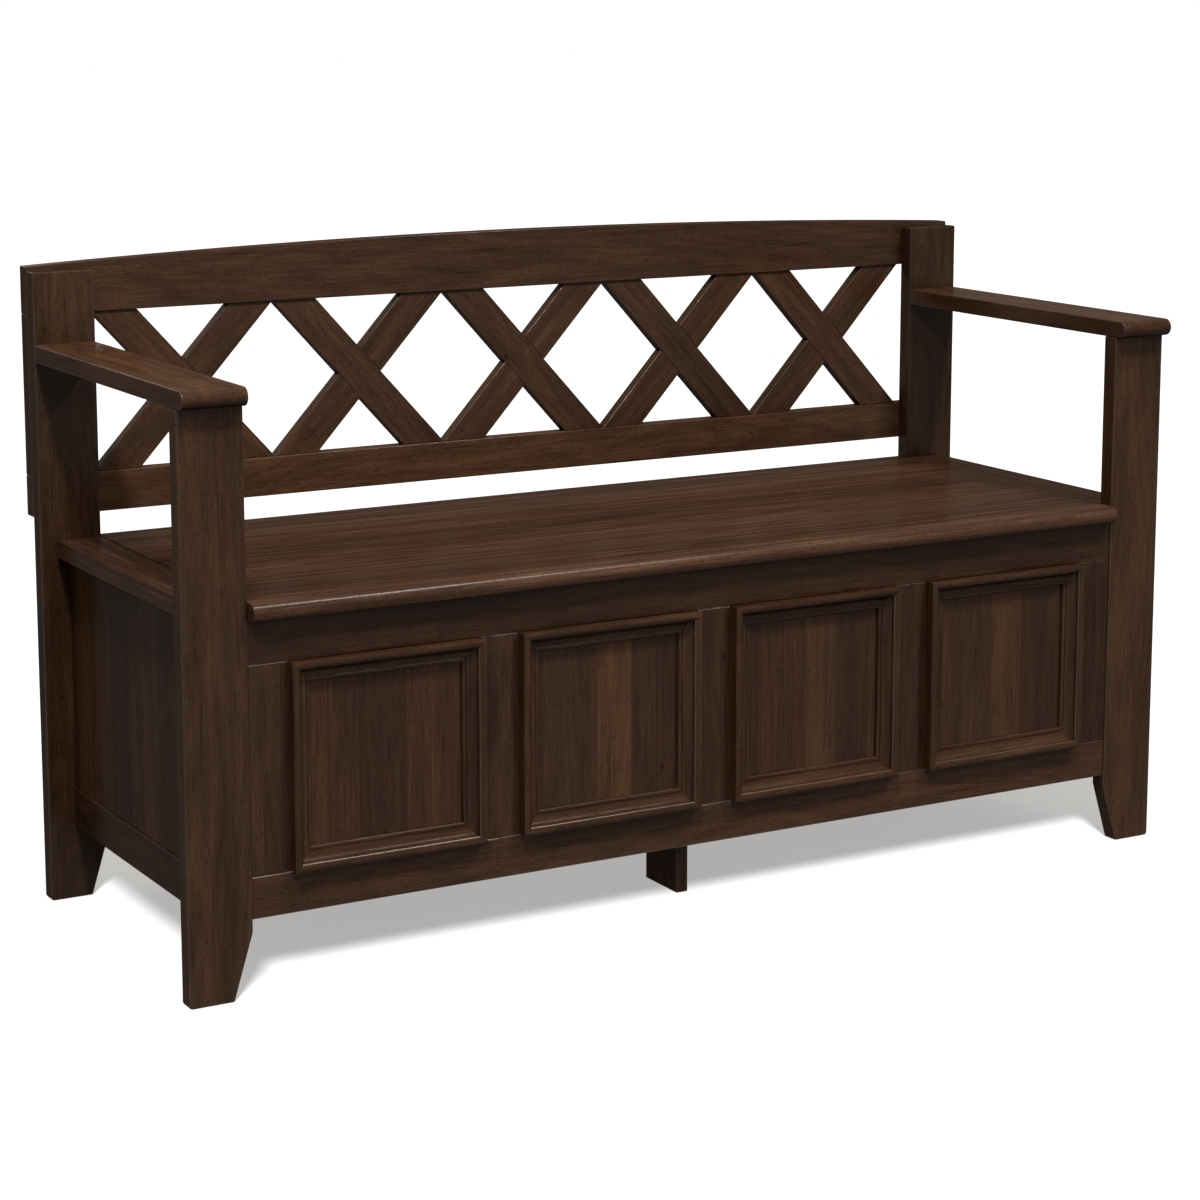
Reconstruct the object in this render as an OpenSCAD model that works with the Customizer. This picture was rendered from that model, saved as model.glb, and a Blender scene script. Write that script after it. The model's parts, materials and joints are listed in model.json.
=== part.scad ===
// Entryway storage bench: two side frames with arms, a panelled front,
// a lattice backrest and a hinged seat lid over one storage well.
// Millimetres. X runs along the bench, +Y to the back, Z up from the floor.
// The origin is under the middle of the bench, on the floor.

/* [Overall] */
// Length over the outer faces of the legs
bench_w = 1270; // [1100:10:1500]
// Depth from the front of the front legs to the back of the back posts
carcass_d = 441; // [380:1:520]
// Height of the seat top
seat_h = 421; // [380:1:480]
// Height of the top of the arms
arm_h = 645; // [600:1:700]
// Height of the middle of the arched crest rail
back_h = 746; // [730:1:860]

/* [Legs] */
// Width of a leg or post, seen from the front
leg_w = 72; // [56:1:90]
// Thickness of a leg or post, front to back
leg_t = 21; // [18:0.5:30]
// Width left at the floor by the foot's taper
foot_w = 50; // [36:1:54]
// Height at which the foot's taper starts
foot_taper_h = 72; // [40:1:80]
// Radius of the foot's outer corner
foot_r = 4; // [1:0.5:8]
// How far the posts stop below the ends of the crest rail
post_drop = 4.5; // [1:0.5:12]

/* [Arms] */
// Thickness of an arm
arm_t = 20; // [16:1:26]
// Overhang of an arm in front of the front leg
arm_over = 16; // [12:1:30]

/* [Backrest] */
// Thickness of the backrest's rails and stiles
back_t = 21; // [18:0.5:28]
// Rise of the crest rail's arch from its ends to its middle
crest_rise = 15.5; // [6:0.5:26]
// Height of the crest rail at its ends
crest_end_h = 54; // [40:1:70]
// Underside of the lower back rail, above the seat top
back_gap = 25; // [23:1:40]
// Height of the lower back rail
back_rail_h = 46; // [36:1:60]
// Number of crosses in the lattice
cross_n = 5; // [3:1:6]
// Gap between the end slats and the inner faces of the posts
lattice_gap = 4.3; // [0:0.1:12]
// Width of a slat's end, measured along the rail
slat_w = 55; // [40:1:60]
// Thickness of a slat
slat_t = 15; // [12:0.5:17]
// How far a backrest stile's inner edge is set back behind its post
stile_back = 16; // [0:1:24]
// Length of the stub tenons of the slats and stiles
slat_tenon = 8; // [5:0.5:14]
// Shoulder at each side of such a tenon
tenon_in = 7; // [4:0.5:12]
// Thickness of such a tenon
tenon_t = 6; // [4:0.5:8]

/* [Front] */
// Underside of the bottom rails, above the floor
rail_z = 85; // [82:1:110]
// Height of the bottom rails
rail_h = 45; // [38:1:60]
// Height of the apron under the lid
apron_h = 45.5; // [36:0.5:60]
// Number of panels in the front
panel_n = 4; // [2:1:5]
// Width of a front stile
stile_w = 45; // [36:1:60]
// How far the front frame sits behind the front of the legs
front_set = 2; // [0.5:0.5:3]
// How far a front panel sits behind the face of its frame
panel_set = 3; // [2:0.5:4]
// Thickness of a front panel
panel_t = 8; // [6:0.5:9]

/* [Moulding] */
// Width of the moulding round a front panel
mould_w = 24; // [18:0.5:34]
// How far the moulding stands out from the front frame
mould_out = 13; // [10:0.5:18]
// Width of the moulding's flat outer band
mould_band = 9; // [4:0.5:12]
// Radius of the outer arris of that band
mould_r = 1; // [0.5:0.25:3]
// Thickness of the moulding's inner step, next to the panel
mould_lip = 4; // [3:0.25:6]
// Width of that inner step
mould_bead = 4; // [3:0.5:6]

/* [Sides] */
// How far the side rails sit inside the outer faces of the legs
side_set = 31; // [26:1:36]
// Thickness of the side rails
side_rail_t = 20; // [18:0.5:22]
// Thickness of the side panels
side_panel_t = 16; // [12:0.5:18]
// Height of the upper side rail, under the seat's end strip
upper_rail_h = 60; // [55:1:80]
// How far the seat's end strip sits inside the outer faces of the legs
strip_set = 19; // [12:1:24]

/* [Back and bottom of the well] */
// Height of the upper rear rail
rear_rail_h = 66; // [45:1:90]
// Thickness of the back panel
back_panel_t = 6; // [4:0.5:7]
// Thickness of the bottom panel
bottom_t = 9; // [6:0.5:15]
// How far the bottom panel's top lies below the top of the bottom rails
bottom_drop = 3; // [1:0.5:8]
// Width and height of a bottom cleat
cleat = 18; // [15:1:20]
// Width of a corner block
block_w = 36; // [28:1:44]
// Depth of a corner block
block_d = 24; // [18:1:30]
// Thickness of the bearer under the middle of the bottom
bearer_t = 10; // [8:0.5:20]
// Height of that bearer
bearer_h = 32; // [24:1:34]
// Thickness of the centre foot
centre_foot_t = 15; // [12:1:20]
// Width of the centre foot, front to back
centre_foot_w = 70; // [50:1:90]
// Distance of the centre foot behind the front of the legs
centre_foot_y = 88; // [45:1:120]

/* [Lid] */
// Thickness of the lid
lid_t = 20; // [18:1:26]
// Overhang of the lid in front of the front legs
lid_over = 15; // [12:1:24]
// Gap at each end of the lid
lid_end_gap = 1.5; // [1:0.25:3]
// Gap between the lid and the rails that it rests over
lid_gap = 0.5; // [0.5:0.1:1]
// Gap between the back of the lid and the front of the backrest
lid_back_gap = 4; // [3:0.5:8]
// Number of battens under the lid
batten_n = 3; // [2:1:4]
// Width of a batten
batten_w = 60; // [40:1:80]
// Thickness of a batten
batten_t = 18; // [12:1:20]

/* [Lid hinges] */
// Number of hinges
hinge_n = 3; // [2:1:4]
// Distance of the outer hinges from the ends of the lid
hinge_in = 160; // [100:5:200]
// Length of a hinge
hinge_l = 64; // [50:1:80]
// Width of a hinge leaf behind its pin
hinge_leaf_w = 17; // [15:0.5:19]
// Thickness of a hinge leaf
hinge_leaf_t = 1.5; // [1:0.1:2]
// Radius of the hinge's barrel
hinge_r = 3.2; // [2.8:0.1:3.6]
// Radius of the hinge pin
hinge_pin_r = 1.6; // [1.2:0.1:2]
// Number of knuckles of a hinge
knuckle_n = 5; // [3:2:7]
// Running clearance between two hinge knuckles
knuckle_gap = 0.4; // [0.2:0.1:0.8]
// Gap between the two leaves of a shut hinge
leaf_split = 0.3; // [0.2:0.05:0.5]

/* [Lid stays] */
// Distance from the hinge axis to the stay's two pivots
stay_reach = 150; // [120:1:170]
// Angle between the two pivots with the lid shut, seen from the hinge axis
stay_angle = 12; // [10:0.5:14]
// Depth of the stay's upper pivot below the lid
stay_drop = 14; // [12:0.5:18]
// Greatest opening angle of the lid
lid_open = 60; // [45:1:60]
// Width of a stay arm
stay_w = 16; // [14:0.5:20]
// Thickness of a stay arm
stay_t = 2.5; // [1.5:0.1:3]
// Thickness of the lid's bracket and of the stud's plate
plate_t = 2; // [1.5:0.1:3]
// Length of the bracket's flange, along the bench
stay_flange = 20; // [16:1:26]
// Radius of the pins that the stay turns and slides on
stay_pin_r = 3; // [2.5:0.1:3.5]
// Radius of the heads of those pins
stay_head_r = 5.5; // [4.5:0.1:6.5]
// Thickness of those heads
head_t = 2; // [1.5:0.1:3]
// Radius of the shoulder that the stud stands on
shoulder_r = 4.5; // [4:0.1:6]
// Length of that shoulder
shoulder_l = 7.5; // [5:0.5:9]

/* [Fits] */
// Clearance of a stub tenon, a panel's edge or a hinge leaf in what holds it
joint_gap = 0.2; // [0.1:0.05:0.4]
// Depth of a panel's edge in its groove
groove_d = 8; // [6:0.5:9]
// Thickness of the tongue on an edge of a side panel
tongue_t = 6; // [5:0.5:8]
// Radial running clearance of a pin in its hole
pin_gap = 0.06; // [0.04:0.01:0.1]
// Clearance of a stud in its slot, of plates that pass each other and round a knuckle
slide_gap = 0.3; // [0.2:0.05:0.4]

/* [Hidden] */
$fn = 48;
// How far a cut runs past the face that it opens
cut_over = 1;
wood = "#3c2a20";
wood_face = "#46301f";
seat_wood = "#523c30";
inner_wood = "#4a3a2c";
steel = "#8a8c90";
black_steel = "#2b2b2d";

// Planes along the bench
x_out = bench_w / 2;
x_in = x_out - leg_w;
x_side_rail = x_out - side_set;
x_side_in = x_side_rail - side_rail_t;
x_groove = x_side_rail - side_rail_t / 2;
x_panel_in = x_groove - side_panel_t / 2;
x_upper_in = x_panel_in - side_rail_t;
x_stile = x_in + stile_back;

// Planes from front to back
total_d = arm_over + carcass_d + back_t;
y_front = arm_over - total_d / 2;
y_leg_in = y_front + leg_t;
y_post_back = y_front + carcass_d;
y_post_in = y_post_back - leg_t;
y_frame = y_front + front_set;
y_panel = y_frame + panel_set;
y_lid_back = y_post_back - lid_back_gap;
y_slat = y_post_back + (back_t - slat_t) / 2;

// Heights
z_lid = seat_h - lid_t;
z_rim = z_lid - lid_gap;
z_apron = z_rim - apron_h;
z_rail_top = rail_z + rail_h;
z_bottom = z_rail_top - bottom_drop;
z_cleat = z_bottom - bottom_t;
z_back_rail = seat_h + back_gap;
z_lattice = z_back_rail + back_rail_h;
z_crest_end = back_h - crest_rise;
z_crest = z_crest_end - crest_end_h;
post_h = z_crest_end - post_drop;

// Front frame
open_w = (2 * x_in - (panel_n + 1) * stile_w) / panel_n;
open_h = z_apron - z_rail_top;
mould_deep = mould_out + panel_set;

// Lattice
cell_w = 2 * (x_in - lattice_gap) / cross_n;
slat_run = cell_w - slat_w;

// Crest arch: the circle through both ends and the middle
crest_r = (x_out * x_out + crest_rise * crest_rise) / (2 * crest_rise);
arch_steps = 40;

// Lid, hinge axis and stay pivots
x_lid = x_in - lid_end_gap;
hinge_y = y_lid_back + lid_gap + hinge_r;
hinge_z = z_rim + lid_gap / 2;
hinge_step = 2 * (x_lid - hinge_in) / (hinge_n - 1);
knuckle_l = hinge_l / knuckle_n;
lid_pivot_z = z_lid - stay_drop;
pivot_fall = asin((hinge_z - lid_pivot_z) / stay_reach);
lid_pivot_y = hinge_y - stay_reach * cos(pivot_fall);
stud_y = hinge_y - stay_reach * cos(pivot_fall + stay_angle);
stud_z = hinge_z - stay_reach * sin(pivot_fall + stay_angle);
slot_near = 2 * stay_reach * sin(stay_angle / 2);
slot_far = 2 * stay_reach * sin((stay_angle + lid_open) / 2);
slot_r = stay_pin_r + slide_gap;
stay_aim = atan2(stud_z - lid_pivot_z, stud_y - lid_pivot_y);
x_stay = x_upper_in - plate_t - shoulder_l - slide_gap - stay_t;
x_ear = x_stay - slide_gap - plate_t;

// Draws its children on the right (+1) or mirrored to the left (-1)
module on_side(side) {
    if (side > 0) children();
    else mirror([1, 0, 0]) children();
}

// A box between two opposite corners
module block(low, high) {
    translate(low) cube(high - low);
}

// What a square corner loses when it is rounded to radius r; the corner is at the origin
module arris_cut(r) {
    difference() {
        translate([-cut_over, -cut_over]) square(r + cut_over);
        translate([r, r]) circle(r = r);
    }
}

// A board's outline with a full round nose: x from 0 back to length, y from 0 to t
module nosed_outline(length, t) {
    translate([t / 2, t / 2]) circle(r = t / 2);
    translate([t / 2, 0]) square([length - t / 2, t]);
}

// Extrudes an outline drawn in Y and Z along X, from x0 to x1
module along_x(x0, x1) {
    translate([x0, 0, 0]) rotate([90, 0, 90]) linear_extrude(x1 - x0) children();
}

// Extrudes an outline drawn in X and Z along Y, from y0 to y1
module along_y(y0, y1) {
    translate([0, y1, 0]) rotate([90, 0, 0]) linear_extrude(y1 - y0) children();
}

// A leg's outline in X and Z on the right side, tapered on its inner edge at the foot
module leg_outline(height) {
    difference() {
        polygon([[x_out, 0], [x_out - foot_w, 0], [x_in, foot_taper_h], [x_in, height], [x_out, height]]);
        translate([x_out, 0]) mirror([1, 0]) arris_cut(foot_r);
    }
}

// The groove that a side panel's end sits in, reaching into a leg from y to y + groove_d
module side_groove(y) {
    block([x_groove - tongue_t / 2 - joint_gap, y, z_rail_top - groove_d],
          [x_groove + tongue_t / 2 + joint_gap, y + groove_d, z_lid + joint_gap]);
}

module front_leg(side) {
    color(wood) on_side(side) difference() {
        along_y(y_front, y_leg_in) leg_outline(arm_h - arm_t);
        side_groove(y_leg_in - groove_d);
    }
}

module back_post(side) {
    color(wood) on_side(side) difference() {
        along_y(y_post_in, y_post_back) leg_outline(post_h);
        side_groove(y_post_in);
        back_panel_space(0);
    }
}

module arm(side) {
    color(wood_face) on_side(side) translate([0, y_front - arm_over, arm_h - arm_t])
        along_x(x_in, x_out) nosed_outline(y_post_in - y_front + arm_over, arm_t);
}

// Left and right ends of the lattice's i-th cell, counted from the left
function cell_x(i) = lattice_gap - x_in + (i - 1) * cell_w;

// Left edge of a slat at its foot and at its head, falling to the right or rising
function slat_foot(i, rise) = cell_x(i) + (rise ? 0 : slat_run);
function slat_head(i, rise) = cell_x(i) + (rise ? slat_run : 0);

// One slat's outline in X and Z
module slat_outline(i, rise) {
    low = slat_foot(i, rise);
    high = slat_head(i, rise);
    polygon([[low, z_lattice], [low + slat_w, z_lattice], [high + slat_w, z_crest], [high, z_crest]]);
}

// Extrudes an outline in X and Z over the thickness of the tenons and the room round them
module tenon_plate(room) {
    y0 = y_slat + (slat_t - tenon_t) / 2;
    along_y(y0 - room, y0 + tenon_t + room) children();
}

// The stub tenons of a slat, one plate through it; with room, the mortises that they sit in
module slat_tenons(i, rise, room) {
    low = slat_foot(i, rise) + tenon_in - room;
    high = slat_head(i, rise) + tenon_in - room;
    wide = slat_w - 2 * (tenon_in - room);
    long = slat_tenon + room;
    tenon_plate(room)
        polygon([[low, z_lattice - long], [low + wide, z_lattice - long], [low + wide, z_lattice],
                 [high + wide, z_crest], [high + wide, z_crest + long], [high, z_crest + long],
                 [high, z_crest], [low, z_lattice]]);
}

// A slat, half lapped where it crosses its fellow: the falling one runs through in front
module slat(i, rise) {
    lap_y = y_slat + slat_t / 2;
    color(wood) difference() {
        union() {
            along_y(y_slat, y_slat + slat_t) slat_outline(i, rise);
            slat_tenons(i, rise, 0);
        }
        if (rise) along_y(y_slat - cut_over, lap_y) slat_outline(i, false);
        else along_y(lap_y, y_slat + slat_t + cut_over) slat_outline(i, true);
    }
}

module lattice_mortises() {
    for (i = [1:cross_n], rise = [false, true]) slat_tenons(i, rise, joint_gap);
}

// The stub tenons of a backrest stile, one plate through it, or their mortises
module stile_tenons(room) {
    long = slat_tenon + room;
    tenon_plate(room) translate([x_stile + tenon_in - room, z_lattice - long])
        square([x_out - x_stile - 2 * (tenon_in - room), z_crest - z_lattice + 2 * long]);
}

module back_stile(side) {
    color(wood) on_side(side) {
        block([x_stile, y_post_back, z_lattice], [x_out, y_post_back + back_t, z_crest]);
        stile_tenons(0);
    }
}

// A point of the crest rail's arched top edge
function arch_point(x) = [x, back_h - crest_r + sqrt(crest_r * crest_r - x * x)];

module crest_rail() {
    color(wood) difference() {
        along_y(y_post_back, y_post_back + back_t)
            polygon(concat([[x_out, z_crest], [-x_out, z_crest]],
                           [for (k = [0:arch_steps]) arch_point(bench_w * k / arch_steps - x_out)]));
        lattice_mortises();
        for (side = [-1, 1]) on_side(side) stile_tenons(joint_gap);
    }
}

module lower_back_rail() {
    color(wood) difference() {
        block([-x_out, y_post_back, z_back_rail], [x_out, y_post_back + back_t, z_lattice]);
        lattice_mortises();
        for (side = [-1, 1]) on_side(side) stile_tenons(joint_gap);
    }
}

// Left edge of the i-th front stile, and of the opening to its right
function stile_x(i) = -x_in + (i - 1) * (stile_w + open_w);
function open_x(i) = stile_x(i) + stile_w;

// The groove in the front frame that holds the panels, between two heights
module front_groove(x0, x1, z0, z1) {
    block([x0, y_panel - joint_gap, z0], [x1, y_panel + panel_t + joint_gap, z1]);
}

module apron() {
    color(wood_face) difference() {
        block([-x_in, y_frame, z_apron], [x_in, y_leg_in, z_rim]);
        front_groove(-x_in, x_in, z_apron, z_apron + groove_d);
    }
}

module front_bottom_rail() {
    color(wood_face) difference() {
        block([-x_in, y_frame, rail_z], [x_in, y_leg_in, z_rail_top]);
        front_groove(-x_in, x_in, z_rail_top - groove_d, z_rail_top);
    }
}

// A front stile: its stub tenons fill the rails' groove, and its edges are grooved for the panels
module front_stile(i) {
    left = stile_x(i);
    right = left + stile_w;
    long = groove_d - joint_gap;
    color(wood) difference() {
        union() {
            block([left, y_frame, z_rail_top], [right, y_leg_in, z_apron]);
            block([left, y_panel, z_rail_top - long], [right, y_panel + panel_t, z_apron + long]);
        }
        if (i > 1) front_groove(left, left + groove_d, z_rail_top, z_apron);
        if (i <= panel_n) front_groove(right - groove_d, right, z_rail_top, z_apron);
        if (i > 1) panel_edge_room(left, left + groove_d);
        if (i <= panel_n) panel_edge_room(right - groove_d, right);
    }
}

// Takes a stile's tenons back to its shoulder line over the width that a panel's corner fills
module panel_edge_room(x0, x1) {
    for (z = [z_rail_top - groove_d, z_apron])
        block([x0, y_panel, z], [x1, y_panel + panel_t, z + groove_d]);
}

module front_panel(i) {
    long = groove_d - joint_gap;
    color(wood_face) block([open_x(i) - long, y_panel, z_rail_top - long],
                           [open_x(i) + open_w + long, y_panel + panel_t, z_apron + long]);
}

// The moulding's section: x from its outer edge inwards, y from its back to its front.
// A flat band with a rounded arris, a cove and a low inner step.
module moulding_outline() {
    cove_x = mould_w - mould_bead;
    difference() {
        square([mould_w, mould_deep]);
        translate([0, mould_deep]) mirror([0, 1]) arris_cut(mould_r);
        translate([cove_x, mould_lip]) square([mould_bead + cut_over, mould_deep]);
        intersection() {
            translate([mould_band, mould_lip]) square([cove_x - mould_band, mould_deep]);
            cove_circle([mould_band, mould_deep], [cove_x, mould_lip]);
        }
    }
}

// The circle that hollows a quarter cove between two points, its centre above and to the right
module cove_circle(a, b) {
    chord = b - a;
    middle = (a + b) / 2;
    translate(middle + [-chord.y, chord.x] / 2) circle(r = norm(chord) / sqrt(2), $fn = 90);
}

// One mitred stick of moulding along X, its outer edge from the origin to [length, 0]
module mitred_stick(length) {
    intersection() {
        along_x(0, length) rotate(90) moulding_outline();
        along_y(-mould_deep - cut_over, cut_over)
            polygon([[0, 0], [length, 0], [length - mould_w, mould_w], [mould_w, mould_w]]);
    }
}

module panel_moulding(i) {
    color(wood_face) translate([open_x(i) + open_w / 2, y_panel, z_rail_top + open_h / 2])
        for (k = [0:3]) {
            across = k % 2 == 0 ? open_w : open_h;
            reach = k % 2 == 0 ? open_h : open_w;
            rotate([0, -90 * k, 0]) translate([-across / 2, 0, -reach / 2]) mitred_stick(across);
        }
}

// A side panel: its tongues sit in the legs and in the lower side rail
module side_panel(side) {
    long = groove_d - joint_gap;
    color(wood_face) on_side(side) {
        block([x_panel_in, y_leg_in, z_rail_top], [x_panel_in + side_panel_t, y_post_in, z_lid]);
        block([x_groove - tongue_t / 2, y_leg_in - long, z_rail_top - long],
              [x_groove + tongue_t / 2, y_post_in + long, z_lid]);
    }
}

module side_rail(side) {
    color(wood) on_side(side) difference() {
        block([x_side_in, y_leg_in, rail_z], [x_side_rail, y_post_in, z_rail_top]);
        block([x_groove - tongue_t / 2 - joint_gap, y_leg_in, z_rail_top - groove_d],
              [x_groove + tongue_t / 2 + joint_gap, y_post_in, z_rail_top]);
    }
}

module upper_side_rail(side) {
    color(inner_wood) on_side(side)
        block([x_upper_in, y_leg_in, z_lid - upper_rail_h], [x_panel_in, y_post_in, z_lid]);
}

module seat_strip(side) {
    color(seat_wood) on_side(side)
        block([x_in, y_leg_in, z_lid], [x_out - strip_set, y_post_in, seat_h]);
}

// The space that the back panel fills, with a given clearance taken off its edges
module back_panel_space(off) {
    long = groove_d - off;
    mid = (y_post_in + y_lid_back) / 2;
    half = back_panel_t / 2 + joint_gap - off;
    block([-x_in - long, mid - half, z_rail_top - long],
          [x_in + long, mid + half, z_rim - rear_rail_h + long]);
}

module back_panel() {
    color(inner_wood) back_panel_space(joint_gap);
}

module upper_rear_rail() {
    color(wood) difference() {
        block([-x_in, y_post_in, z_rim - rear_rail_h], [x_in, y_lid_back, z_rim]);
        back_panel_space(0);
        at_hinges() leaf_space(-1);
    }
}

module lower_rear_rail() {
    color(wood) difference() {
        block([-x_in, y_post_in, rail_z], [x_in, y_lid_back, z_rail_top]);
        back_panel_space(0);
    }
}

module bottom_panel() {
    color(inner_wood) block([-x_side_in, y_leg_in, z_cleat], [x_side_in, y_post_in, z_bottom]);
}

module bottom_cleats() {
    low = z_cleat - cleat;
    color(inner_wood) {
        block([-x_side_in, y_leg_in, low], [x_side_in, y_leg_in + cleat, z_cleat]);
        block([-x_side_in, y_post_in - cleat, low], [x_side_in, y_post_in, z_cleat]);
        for (side = [-1, 1]) on_side(side)
            block([x_side_in - cleat, y_leg_in + cleat + joint_gap, low],
                  [x_side_in, y_post_in - cleat - joint_gap, z_cleat]);
    }
}

// Blocks glued and screwed into the well's four corners, notched at the foot over the side rail
module corner_blocks() {
    color(inner_wood) for (side = [-1, 1]) on_side(side)
        for (y = [y_leg_in, y_post_in - block_d]) difference() {
            block([x_panel_in - block_w, y, z_bottom], [x_panel_in, y + block_d, z_lid - upper_rail_h]);
            block([x_side_in, y - cut_over, z_bottom - cut_over],
                  [x_panel_in + cut_over, y + block_d + cut_over, z_rail_top]);
        }
}

module centre_bearer() {
    color(inner_wood) block([-bearer_t / 2, y_leg_in + cleat, z_cleat - bearer_h],
                            [bearer_t / 2, y_post_in - cleat, z_cleat]);
}

// The centre foot is screwed to the right face of the bearer
module centre_foot() {
    color(wood) block([bearer_t / 2, y_front + centre_foot_y, 0],
                      [bearer_t / 2 + centre_foot_t, y_front + centre_foot_y + centre_foot_w, z_cleat]);
}

module lid_panel() {
    color(seat_wood) difference() {
        translate([0, y_front - lid_over, z_lid])
            along_x(-x_lid, x_lid) nosed_outline(y_lid_back - y_front + lid_over, lid_t);
        at_hinges() leaf_space(1);
    }
}

// Battens with sloped ends, screwed under the lid to keep it flat
module lid_battens() {
    reach = x_lid - hinge_in;
    front = y_leg_in + cleat;
    back = y_post_in - cleat;
    color(inner_wood) for (k = [0:batten_n - 1])
        translate([-reach + 2 * reach * k / (batten_n - 1), 0, 0]) along_x(-batten_w / 2, batten_w / 2)
            polygon([[front, z_lid], [front, z_lid - batten_t / 2], [front + batten_t, z_lid - batten_t],
                     [back - batten_t, z_lid - batten_t], [back, z_lid - batten_t / 2], [back, z_lid]]);
}

// Places its children at each hinge, with the hinge axis on X
module at_hinges() {
    for (k = [0:hinge_n - 1])
        translate([hinge_in - x_lid + k * hinge_step, hinge_y, hinge_z]) children();
}

// The mortise for a hinge leaf: in the lid (up = 1) or in the upper rear rail (up = -1)
module leaf_space(up) {
    deep = leaf_split / 2 + hinge_leaf_t;
    translate([-hinge_l / 2 - joint_gap, -hinge_leaf_w - joint_gap, up > 0 ? 0 : -deep])
        cube([hinge_l + 2 * joint_gap, hinge_leaf_w + joint_gap, deep]);
}

// One hinge leaf with its share of the knuckles, from the first and then every second one
module hinge_leaf(up, first, bore_r) {
    z0 = leaf_split / 2;
    difference() {
        union() {
            translate([-hinge_l / 2, -hinge_leaf_w, up > 0 ? z0 : -z0 - hinge_leaf_t])
                cube([hinge_l, hinge_leaf_w, hinge_leaf_t]);
            for (k = [first:2:knuckle_n - 1]) translate([knuckle_x(k) + knuckle_gap / 2, 0, 0])
                rotate([0, 90, 0]) cylinder(r = hinge_r, h = knuckle_l - knuckle_gap);
        }
        for (k = [1 - first:2:knuckle_n - 1]) translate([knuckle_x(k) - knuckle_gap / 2, 0, 0])
            rotate([0, 90, 0]) cylinder(r = hinge_r + slide_gap, h = knuckle_l + knuckle_gap);
        translate([-hinge_l, 0, 0]) rotate([0, 90, 0]) cylinder(r = bore_r, h = 2 * hinge_l);
    }
}

function knuckle_x(k) = k * knuckle_l - hinge_l / 2;

module hinge_rail_leaves() {
    color(steel) at_hinges() hinge_leaf(-1, 0, hinge_pin_r + pin_gap);
}

module hinge_lid_leaves() {
    color(steel) at_hinges() hinge_leaf(1, 1, hinge_pin_r + pin_gap);
}

module hinge_pins() {
    color(steel) at_hinges() translate([-hinge_l / 2, 0, 0])
        rotate([0, 90, 0]) cylinder(r = hinge_pin_r, h = hinge_l);
}

// A pin along Z whose head keeps a stay arm on it, above a seat at a given height
module headed_pin(seat) {
    under_head = seat + stay_t + 2 * slide_gap;
    cylinder(r = stay_pin_r, h = under_head + head_t);
    translate([0, 0, under_head]) cylinder(r = stay_head_r, h = head_t);
}

// The fixed plate and headed stud that a stay arm slides on, screwed to the upper side rail
module stay_stud() {
    translate([x_upper_in, stud_y, stud_z]) rotate([0, -90, 0]) {
        translate([-stay_w / 2, -stay_w, 0]) cube([stay_w, 2 * stay_w, plate_t]);
        cylinder(r = shoulder_r, h = plate_t + shoulder_l);
        headed_pin(plate_t + shoulder_l);
    }
}

module stay_studs() {
    color(black_steel) for (side = [-1, 1]) on_side(side) stay_stud();
}

// The angle bracket under the lid, with the pin that a stay arm turns on
module stay_bracket() {
    translate([x_ear, lid_pivot_y, lid_pivot_z]) {
        translate([0, -stay_w / 2, -stay_w / 2]) cube([plate_t, stay_w, stay_drop + stay_w / 2]);
        translate([-stay_flange, -stay_w, stay_drop - plate_t])
            cube([stay_flange + plate_t, 2 * stay_w, plate_t]);
        rotate([0, 90, 0]) headed_pin(plate_t);
    }
}

module stay_brackets() {
    color(black_steel) for (side = [-1, 1]) on_side(side) stay_bracket();
}

// A slotted stay arm: it hangs from the lid's bracket and slides over the fixed stud
module stay_arm(side) {
    long = slot_far + 2 * slot_r;
    color(black_steel) on_side(side) translate([x_stay, lid_pivot_y, lid_pivot_z])
        rotate([stay_aim, 0, 0]) rotate([90, 0, 90]) linear_extrude(stay_t) difference() {
            union() {
                circle(r = stay_w / 2);
                translate([0, -stay_w / 2]) square([long, stay_w]);
                translate([long, 0]) circle(r = stay_w / 2);
            }
            circle(r = stay_pin_r + pin_gap);
            translate([slot_near, 0]) circle(r = slot_r);
            translate([slot_far, 0]) circle(r = slot_r);
            translate([slot_near, -slot_r]) square([slot_far - slot_near, 2 * slot_r]);
        }
}

front_leg(-1);  // front_leg_left
front_leg(1);  // front_leg_right
back_post(-1);  // back_post_left
back_post(1);  // back_post_right
arm(-1);  // arm_left
arm(1);  // arm_right
crest_rail();
lower_back_rail();
back_stile(-1);  // back_stile_left
back_stile(1);  // back_stile_right
for (i = [1:cross_n]) {
    slat(i, false);
    slat(i, true);
}
apron();
front_bottom_rail();
for (i = [1:panel_n + 1]) {
    front_stile(i);
}
for (i = [1:panel_n]) {
    front_panel(i);
    panel_moulding(i);
}
side_panel(-1);  // side_panel_left
side_panel(1);  // side_panel_right
side_rail(-1);  // side_rail_left
side_rail(1);  // side_rail_right
upper_side_rail(-1);  // upper_side_rail_left
upper_side_rail(1);  // upper_side_rail_right
seat_strip(-1);  // seat_strip_left
seat_strip(1);  // seat_strip_right
upper_rear_rail();
lower_rear_rail();
back_panel();
bottom_panel();
bottom_cleats();
corner_blocks();
centre_bearer();
centre_foot();
hinge_rail_leaves();
hinge_pins();
stay_studs();
lid_panel();
lid_battens();
hinge_lid_leaves();
stay_brackets();
stay_arm(-1);  // stay_arm_left
stay_arm(1);  // stay_arm_right
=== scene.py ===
import json
import math

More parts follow.
